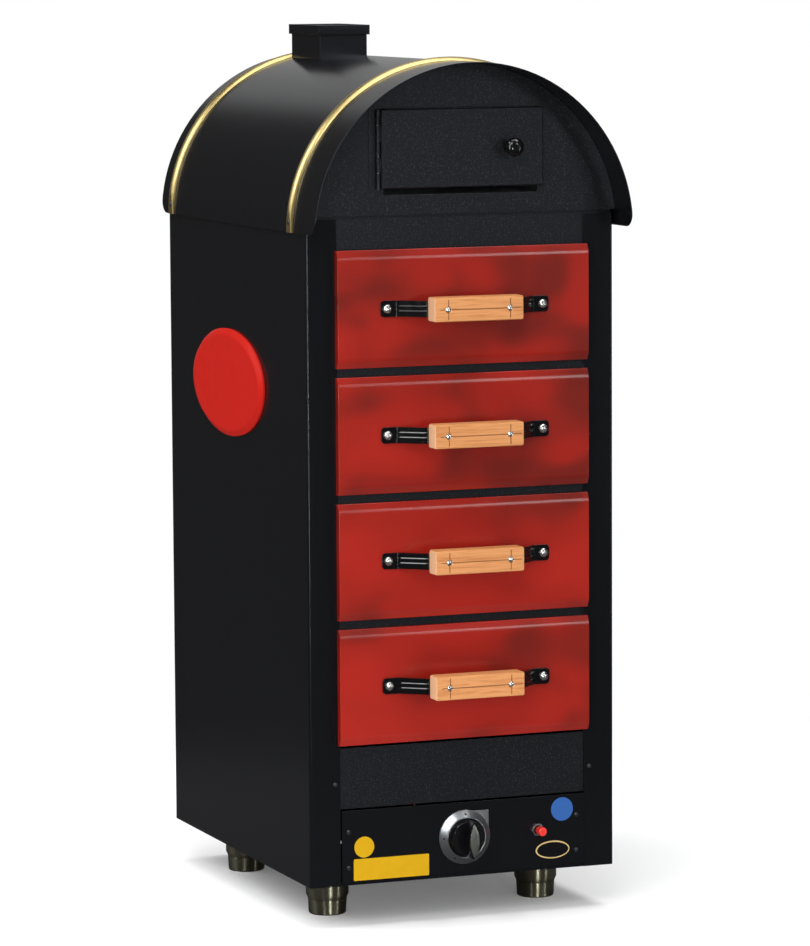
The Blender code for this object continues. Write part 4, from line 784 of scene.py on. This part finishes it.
class OVEN_OT_controls(Operator):
    """Thermostat knob, bezel and igniter"""
    bl_idname = "oven.controls"
    bl_label = "Controls"

    def execute(self, context):
        finished("knob_bezel", radius_mm=0.25)
        self.knob()
        finished("thermostat_shaft")
        finished("igniter_nut", radius_mm=0.4)
        finished("igniter_button", radius_mm=0.3)
        finished("igniter_body", radius_mm=0.3)
        self.bead()
        self.dial_dots()
        self.inlay()
        return {"FINISHED"}

    KNOB_FACE_RADIUS = 0.0240  # rim of the knob's round face
    KNOB_FACE_ROUND = 0.0012  # radius on that rim
    KNOB_EDGE_ROUND = 0.0005  # radius on its other edges

    def knob(self):
        """The knob, with a soft edge round its face and eased edges elsewhere."""
        mesh = merged("thermostat_knob")
        rim = [edge for edge in sharp_edges(mesh)
               if all(abs(hypot(vert.co.x - knob_x, vert.co.z - knob_z) - self.KNOB_FACE_RADIUS)
                      < PLATE_GAP for vert in edge.verts)]
        round_edges(mesh, rim, self.KNOB_FACE_ROUND, segments=4)
        round_edges(mesh, sharp_edges(mesh), self.KNOB_EDGE_ROUND, segments=3)
        stand_for("thermostat_knob", mesh)

    BEAD_RADIUS = 0.0283  # rolled bead round the inner edge of the bezel
    BEAD_THICKNESS = 0.0018
    BEAD_SUNK = 0.45  # share of its thickness that it sits in the edge
    DOT_RING = 0.0322  # radius on which the bezel's dots stand
    DOT_PROUD = 0.0053  # the bezel's cone before the panel, at that radius
    # Radius and height of the points of a dot's outline
    DOT_PROFILE = ((0, 0), (0.0015, 0), (0.0014, 0.0002), (0, 0.0003))
    DOT_HOURS = (0, 9, 7)  # their places on a clock face
    CONE_SLOPE = radians(35)  # of the bezel's cone

    def bead(self):
        mesh = bmesh.new()
        bmesh.ops.create_circle(mesh, radius=self.BEAD_THICKNESS / 2, segments=12)
        moved(mesh, Matrix.Translation((self.BEAD_RADIUS, 0, 0)) @ Matrix.Rotation(pi / 2, 4, "X"))
        sunk_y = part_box("knob_bezel")[0].y + self.BEAD_THICKNESS * self.BEAD_SUNK
        mesh = moved(spun(mesh, steps=72), towards_front(0, sunk_y, knob_z))
        link_piece("bezel_bead", mesh, "chrome", "casing")

    INLAY_MARGIN = 0.0006  # bare crest left round the inlay
    INLAY_RISE = 0.0004  # edge of the inlay above the crest of the bar
    INLAY_CROWN = 0.0019  # how much higher its middle stands
    INLAY_CUTS = 13  # across its length
    INLAY_RIDGE = 0.0005  # height of the ridge along its middle

    def inlay(self):
        """A satin metal lens on the crest of the knob's bar, crowned along its length."""
        mesh = merged("thermostat_knob")
        crest = min(mesh.faces, key=lambda face: face.calc_center_median().y)
        others = [face for face in mesh.faces if face != crest]
        bmesh.ops.delete(mesh, geom=others, context="FACES")
        margin = bmesh.ops.inset_region(mesh, faces=mesh.faces[:],
                                        thickness=self.INLAY_MARGIN)["faces"]
        bmesh.ops.delete(mesh, geom=margin, context="FACES")
        base_y = mesh.verts[:][0].co.y
        grown = bmesh.ops.extrude_face_region(mesh, geom=mesh.faces[:])["geom"]
        top = [item for item in grown if isinstance(item, bmesh.types.BMVert)]
        bmesh.ops.translate(mesh, vec=(0, -self.INLAY_RISE, 0), verts=top)
        low_z = min(vert.co.z for vert in mesh.verts)
        high_z = max(vert.co.z for vert in mesh.verts)
        planes = [((0, 0, low_z + (high_z - low_z) * step / (self.INLAY_CUTS + 1)), (0, 0, 1))
                  for step in range(1, self.INLAY_CUTS + 1)] + [((0, 0, 0), (1, 0, 0))]
        for place, way in planes:
            bmesh.ops.bisect_plane(mesh, geom=mesh.verts[:] + mesh.edges[:] + mesh.faces[:],
                                   plane_co=place, plane_no=way)
        half = (high_z - low_z) / 2
        for vert in mesh.verts:
            if vert.co.y < base_y - self.INLAY_RISE / 2:
                share = 1 - ((vert.co.z - low_z - half) / half) ** 2
                ridge = self.INLAY_RIDGE if abs(vert.co.x) < PLATE_GAP else 0
                vert.co.y -= share * self.INLAY_CROWN + ridge * share
        bmesh.ops.recalc_face_normals(mesh, faces=mesh.faces)
        link_piece("knob_inlay", mesh, "inlay", "thermostat_knob")

    def dial_dots(self):
        """Three dark dots on the polished cone, at twelve, nine and seven o'clock."""
        cone_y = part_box("knob_bezel")[1].y - self.DOT_PROUD
        spots = [Matrix.Translation((knob_x, 0, knob_z))
                 @ Matrix.Rotation(hour * pi / 6 - pi / 2, 4, "Y")
                 @ Matrix.Translation((self.DOT_RING, cone_y, 0))
                 @ Matrix.Rotation(pi / 2, 4, "X") @ Matrix.Rotation(self.CONE_SLOPE, 4, "Y")
                 for hour in self.DOT_HOURS]
        mesh = place_at(revolved(self.DOT_PROFILE, steps=16), spots)
        link_piece("bezel_dots", mesh, "black_screw", "casing")


class OVEN_OT_feet(Operator):
    """Sleeves and pads of the four feet"""
    bl_idname = "oven.feet"
    bl_label = "Feet"

    def execute(self, context):
        for corner in ("front_left", "front_right", "rear_left", "rear_right"):
            finished(f"{corner}_foot_sleeve", radius_mm=0.4)
            finished(f"{corner}_foot_pad", radius_mm=0.4)
        return {"FINISHED"}


class OVEN_OT_gas_line(Operator):
    """Burner, valve and gas pipes"""
    bl_idname = "oven.gas_line"
    bl_label = "Gas line"

    def execute(self, context):
        for node in ("burner", "gas_valve", "burner_feed_pipe", "gas_inlet_pipe"):
            finished(node)
        return {"FINISHED"}


class OVEN_OT_screws(Operator):
    """Black screws on the casing and on the ends of the hoops"""
    bl_idname = "oven.screws"
    bl_label = "Screws"

    # x and z of the screws on the control panel and the posts
    PANEL_SCREWS = ((-0.1705, 0.1347), (0.1674, 0.1347), (-0.1705, 0.0850), (0.1674, 0.0850))
    POST_SCREWS = ((-0.1885, 0.2010), (0.1885, 0.2010))
    HOOP_SCREW_LIFT = 0.014  # above the lower end of a hoop
    HOOP_SCREW, HOOP_SCREW_HEIGHT = 0.0085, 0.0020  # diameter and height of a head
    SCREW_HEIGHT = 0.0030  # of the heads on the casing
    PANEL_TWIST, POST_TWIST = 30, 20  # turn of a head's cross, for each metre from the middle

    def execute(self, context):
        spots = [towards_front(x, panel_low.y - PLATE_GAP, z, turn=x * self.PANEL_TWIST)
                 for x, z in self.PANEL_SCREWS]
        spots += [towards_front(x, front_y - PLATE_GAP, z, turn=x * self.POST_TWIST)
                  for x, z in self.POST_SCREWS]
        head = screw_head(sizes().panel_screw, self.SCREW_HEIGHT, recess=0.5)
        mesh = place_at(head, spots)
        link_piece("casing_screws", mesh, "black_screw", "casing")
        spots = []
        for node in ("front_hoop", "rear_hoop"):
            low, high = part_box(node)
            y, z = (low.y + high.y) / 2, low.z + self.HOOP_SCREW_LIFT
            spots.append(towards_side(low.x + self.HOOP_SCREW_HEIGHT, y, z, -1))
            spots.append(towards_side(high.x - self.HOOP_SCREW_HEIGHT, y, z, 1))
        head = screw_head(self.HOOP_SCREW, self.HOOP_SCREW_HEIGHT, recess=0.4)
        mesh = place_at(head, spots)
        link_piece("hoop_screws", mesh, "black_screw", "casing")
        return {"FINISHED"}


class OVEN_OT_plates(Operator):
    """Bare oval plate on the side and bare plates on the control panel"""
    bl_idname = "oven.plates"
    bl_label = "Plates"

    PLATE_PLACE = (0.0452, 0.727)  # y and z of the oval plate's middle
    PLATE_RIM, PLATE_CROWN = 0.006, 0.0004  # width of its bevel, rise of its field
    UPRIGHT = 0.4  # share of an oval's thickness below its bevel
    FIELD_RIM = 0.8  # width of the slope round its field, as a share of the bevel's
    FILM = 0.0004  # thickness of a stuck-on plate
    LONG_PLATE = ((-0.163, 0.0665), (-0.0525, 0.0965))  # x and z of two corners
    LONG_PLATE_CORNER = 0.0015  # radius of its corners
    OVAL_PLACE = (0.132, 0.088)  # x and z of the rimmed oval's middle
    OVAL_RIM, OVAL_FIELD = (0.051, 0.025), (0.0472, 0.0212)  # lengths and heights

    def execute(self, context):
        self.side_plate()
        self.disc("round_plate_yellow", -0.1474, 0.1126, diameter=0.029, code=look().label)
        self.disc("round_plate_blue", 0.1464, 0.1439, diameter=0.033, code="#335D9E")
        self.rectangle()
        self.rimmed_oval()
        return {"FINISHED"}

    def ellipse(self, length, height, thickness, rim, crown):
        """An oval slab about Z with a bevelled rim and a slightly raised field."""
        mesh = bmesh.new()
        bmesh.ops.create_circle(mesh, cap_ends=True, radius=0.5, segments=96)
        bmesh.ops.scale(mesh, vec=(length, height, 1), verts=mesh.verts)
        for inset, lift in ((0, thickness * self.UPRIGHT), (rim, thickness * (1 - self.UPRIGHT)),
                            (rim * self.FIELD_RIM, crown)):
            face = max(mesh.faces, key=lambda item: item.calc_center_median().z)
            if inset:
                bmesh.ops.inset_region(mesh, faces=[face], thickness=inset, depth=lift)
            else:
                new = bmesh.ops.extrude_face_region(mesh, geom=[face])["geom"]
                verts = [item for item in new if isinstance(item, bmesh.types.BMVert)]
                bmesh.ops.translate(mesh, vec=(0, 0, lift), verts=verts)
        bmesh.ops.recalc_face_normals(mesh, faces=mesh.faces)
        return mesh

    def side_plate(self):
        y, z = self.PLATE_PLACE
        mesh = self.ellipse(sizes().plate_height, sizes().plate_length, sizes().plate_thickness,
                            self.PLATE_RIM, self.PLATE_CROWN)
        moved(mesh, towards_side(side_x - PLATE_GAP, y, z, -1))
        finish = plate_finish("side plate", look().plate, roughness=0.14)
        link_piece("side_plate", mesh, finish, "casing")

    def disc(self, name, x, z, diameter, code):
        mesh = self.ellipse(diameter, diameter, self.FILM, self.FILM, 0)
        moved(mesh, towards_front(x, panel_low.y - PLATE_GAP, z))
        finish = plate_finish(name, code, roughness=0.3)
        link_piece(name, mesh, finish, "casing")

    def rectangle(self):
        (left, bottom), (right, top) = self.LONG_PLATE
        mesh = box_mesh((left, panel_low.y - PLATE_GAP - self.FILM, bottom),
                        (right, panel_low.y - PLATE_GAP, top))
        upright = [edge for edge in mesh.edges
                   if abs(edge.verts[0].co.y - edge.verts[1].co.y) > self.FILM / 2]
        round_edges(mesh, upright, self.LONG_PLATE_CORNER, segments=3)
        finish = plate_finish("long plate", look().label, roughness=0.35)
        link_piece("long_plate_yellow", mesh, finish, "casing")

    def rimmed_oval(self):
        x, z = self.OVAL_PLACE
        place = towards_front(x, panel_low.y - PLATE_GAP, z)
        rim = moved(self.ellipse(*self.OVAL_RIM, self.FILM * 2, self.FILM, 0), place)
        finish = plate_finish("oval rim", "#CDB27A", roughness=0.3)
        link_piece("oval_plate_rim", rim, finish, "casing")
        lift = Matrix.Translation((0, -self.FILM * 2, 0))
        field = moved(self.ellipse(*self.OVAL_FIELD, self.FILM, self.FILM, 0), lift @ place)
        finish = plate_finish("oval field", "#121214", roughness=0.2)
        link_piece("oval_plate_field", field, finish, "casing")


class OVEN_OT_stage(Operator):
    """Pale floor, soft studio lamps, white background and camera"""
    bl_idname = "oven.stage"
    bl_label = "Stage"

    # The camera's place in metres, its angles, and its lens and sensor width in millimetres
    CAMERA = (-2.4087, -6.1981, 1.3402)
    YAW, PITCH, ROLL = radians(-21.402), radians(6.419), radians(-0.329)
    LENS = 179.58
    SENSOR = 36

    LAMPS = (
        # name, place, aimed at, width, height, watts
        ("left strip softbox", (-1.15, -1.45, 1.15), (0, -0.20, 1.00), 0.32, 1.40, 10),
        ("high key softbox", (-1.5, -3.2, 3.2), (0, 0, 0.6), 1.4, 1.4, 34),
        ("crease softbox", (1.90, -4.25, 2.10), (0.10, -0.27, 0.70), 0.42, 1.30, 16),
        ("front strip", (-0.28, -3.20, 0.42), (-0.15, -0.27, 0.05), 0.18, 0.80, 22),
        ("right strip", (2.30, -2.90, 0.45), (0, -0.27, 0.05), 0.12, 0.90, 8),
        ("top edge strip", (0.80, -1.08, 2.59), (0, -0.27, 0.70), 0.40, 0.80, 9),
        ("strap softbox", (-1.44, -0.81, 2.52), (-0.1, -0.3, 0.85), 0.45, 0.45, 7),
        ("left wall softbox", (-2.30, 1.30, 2.10), (0, 0.05, 1.10), 1.9, 2.4, 21),
        ("hoop softbox", (-2.34, 0.55, 2.30), (0, 0.05, 1.10), 0.8, 1.5, 26),
        ("overhead softbox", (0.1, -0.1, 4.1), (0, 0, 0), 3.3, 3.3, 116),
    )

    def execute(self, context):
        self.camera()
        self.lamps()
        self.world()
        self.floor()
        context.scene.view_settings.view_transform = "Standard"
        return {"FINISHED"}

    def camera(self):
        yaw, pitch, roll = self.YAW, self.PITCH, self.ROLL
        ahead = Vector((sin(-yaw) * cos(pitch), cos(yaw) * cos(pitch), -sin(pitch)))
        right = ahead.cross(Vector((0, 0, 1))).normalized()
        up = right.cross(ahead)
        across = cos(roll) * right + sin(roll) * up
        above = -sin(roll) * right + cos(roll) * up
        data = bpy.data.cameras.new("camera")
        data.lens = self.LENS
        data.sensor_width = self.SENSOR
        data.clip_end = 100
        camera = bpy.data.objects.new("camera", data)
        turn = Matrix((across, above, -ahead)).transposed().to_4x4()
        camera.matrix_world = Matrix.Translation(self.CAMERA) @ turn
        bpy.context.scene.collection.objects.link(camera)
        bpy.context.scene.camera = camera

    def lamps(self):
        for name, place, target, width, height, watts in self.LAMPS:
            data = bpy.data.lights.new(name, "AREA")
            data.shape = "RECTANGLE"
            data.size, data.size_y, data.energy = width, height, watts
            lamp = bpy.data.objects.new(name, data)
            lamp.visible_camera = False
            aim = (Vector(target) - Vector(place)).to_track_quat("-Z", "Y")
            lamp.matrix_world = Matrix.Translation(place) @ aim.to_matrix().to_4x4()
            bpy.context.scene.collection.objects.link(lamp)

    AMBIENT = 0.38  # soft light on matt surfaces from all round
    ROOM_DIM = 0.05  # the dark room, as gloss and metal show it
    BACK_GLOW = 0.46  # its lit wall, behind the oven and to the right
    # Where its middle and its left edge lie, and how the light fades in towards each
    WALL = (((0.40, 0.88, 0.25), 0.80, 0.90), ((0.75, 0.62, 0.22), 0.57, 0.68))

    def world(self):
        """White for the camera; gloss and metal show a dark room with one lit wall."""
        world = bpy.data.worlds.new("studio")
        bpy.context.scene.world = world
        world.use_nodes = True
        world.node_tree.nodes.clear()
        node = partial(add_node, world)
        rays = node("ShaderNodeLightPath").outputs
        heading = node("ShaderNodeTexCoord").outputs["Generated"]
        wall = node("ShaderNodeMath", [("operation", "MULTIPLY")])
        for socket, (way, dark, lit) in enumerate(self.WALL):
            near = node("ShaderNodeVectorMath", [("operation", "DOT_PRODUCT"), (1, way)],
                        [(0, heading)])
            fade = node("ShaderNodeMapRange", [("interpolation_type", "SMOOTHSTEP"),
                                               ("From Min", dark), ("From Max", lit)],
                        [("Value", near.outputs["Value"])])
            world.node_tree.links.new(fade.outputs["Result"], wall.inputs[socket])
        shown = node("ShaderNodeMapRange", [("To Min", self.ROOM_DIM), ("To Max", self.BACK_GLOW)],
                     [("Value", wall)])
        glossy = node("ShaderNodeMath", [("operation", "MULTIPLY")],
                      [(0, rays["Is Glossy Ray"]), (1, shown)])
        seen = node("ShaderNodeMath", [("operation", "MAXIMUM")],
                    [(0, rays["Is Camera Ray"]), (1, rays["Is Transmission Ray"])])
        white = node("ShaderNodeMath", [("operation", "MAXIMUM")], [(0, glossy), (1, seen)])
        matt = node("ShaderNodeMath", [("operation", "MULTIPLY"), (1, self.AMBIENT)],
                    [(0, rays["Is Diffuse Ray"])])
        strength = node("ShaderNodeMath", [("operation", "MAXIMUM")], [(0, white), (1, matt)])
        light = node("ShaderNodeBackground", [("Color", (1, 1, 1, 1))], [("Strength", strength)])
        node("ShaderNodeOutputWorld", (), [("Surface", light)])

    FLOOR_HALF = 9  # half its width
    FLOOR_LIFT = 0.12  # brings the lit floor up to the white behind it
    NEAR_MM, FAR_MM = 860, 1640  # the floor turns plain white between these distances
    # Its colour as it is seen and as gloss and metal show it
    FLOOR, FLOOR_MIRRORED = "#F2F2F3", "#4A4A4B"

    def floor(self):
        """A pale floor that keeps the object's soft shadow and is plain white further out."""
        mesh = bmesh.new()
        bmesh.ops.create_grid(mesh, x_segments=1, y_segments=1, size=self.FLOOR_HALF)
        floor = new_object("floor", mesh)
        material = bpy.data.materials.new("pale floor")
        material.use_nodes = True
        material.node_tree.nodes.clear()
        node = partial(add_node, material)
        rays = node("ShaderNodeLightPath").outputs
        mirrored = node("ShaderNodeMath", [("operation", "MULTIPLY"), (1, self.ROOM_DIM)],
                        [(0, rays["Is Glossy Ray"])])
        seen = node("ShaderNodeMath", [("operation", "MAXIMUM")],
                    [(0, rays["Is Camera Ray"]), (1, mirrored)])
        place = node("ShaderNodeVectorMath", [("operation", "LENGTH")],
                     [(0, pattern_space(material, even(1)))])
        far = node("ShaderNodeMapRange",
                   [("interpolation_type", "SMOOTHSTEP"), ("From Min", self.NEAR_MM),
                    ("From Max", self.FAR_MM)], [("Value", place.outputs["Value"])])
        colour = node("ShaderNodeMix", [("data_type", "RGBA"), (6, linear(self.FLOOR)),
                                        (7, linear(self.FLOOR_MIRRORED))],
                      [("Factor", rays["Is Glossy Ray"])])
        paint = node("ShaderNodeBsdfDiffuse", (), [("Color", colour.outputs[2])])
        lift = node("ShaderNodeMath", [("operation", "MULTIPLY"), (1, self.FLOOR_LIFT)],
                    [(0, seen)])
        near_glow = node("ShaderNodeEmission", (), [("Strength", lift)])
        near = node("ShaderNodeAddShader", (), [(0, paint), (1, near_glow)])
        far_glow = node("ShaderNodeEmission", (), [("Strength", seen)])
        both = node("ShaderNodeMixShader", (), [(0, far), (1, near), (2, far_glow)])
        node("ShaderNodeOutputMaterial", (), [("Surface", both)])
        floor.data.materials.append(material)


OPERATORS = (OVEN_OT_stage, OVEN_OT_casing, OVEN_OT_linings, OVEN_OT_roof, OVEN_OT_warming_door,
             OVEN_OT_drawers, OVEN_OT_handles, OVEN_OT_controls, OVEN_OT_feet, OVEN_OT_gas_line,
             OVEN_OT_screws, OVEN_OT_plates)


class OVEN_PT_pieces(Panel):
    """Lists the oven's pieces and their sizes and colours"""
    bl_idname = "OVEN_PT_pieces"
    bl_label = "Drawer oven"
    bl_space_type = "VIEW_3D"
    bl_region_type = "UI"
    bl_category = "Oven"

    def draw(self, context):
        for operator in OPERATORS:
            self.layout.operator(operator.bl_idname)
        for group in (context.scene.oven_look, context.scene.oven_sizes):
            for name in group.__annotations__:
                self.layout.prop(group, name)


CLASSES = (OvenLook, OvenSizes) + OPERATORS + (OVEN_PT_pieces,)


def register():
    for item in CLASSES:
        register_class(item)
    bpy.types.Scene.oven_look = PointerProperty(type=OvenLook)
    bpy.types.Scene.oven_sizes = PointerProperty(type=OvenSizes)


def unregister():
    del bpy.types.Scene.oven_sizes
    del bpy.types.Scene.oven_look
    for item in reversed(CLASSES):
        unregister_class(item)


def main():
    register()
    for operator in OPERATORS:
        group, name = operator.bl_idname.split(".")
        getattr(getattr(bpy.ops, group), name)()


if __name__ == "__main__":
    main()
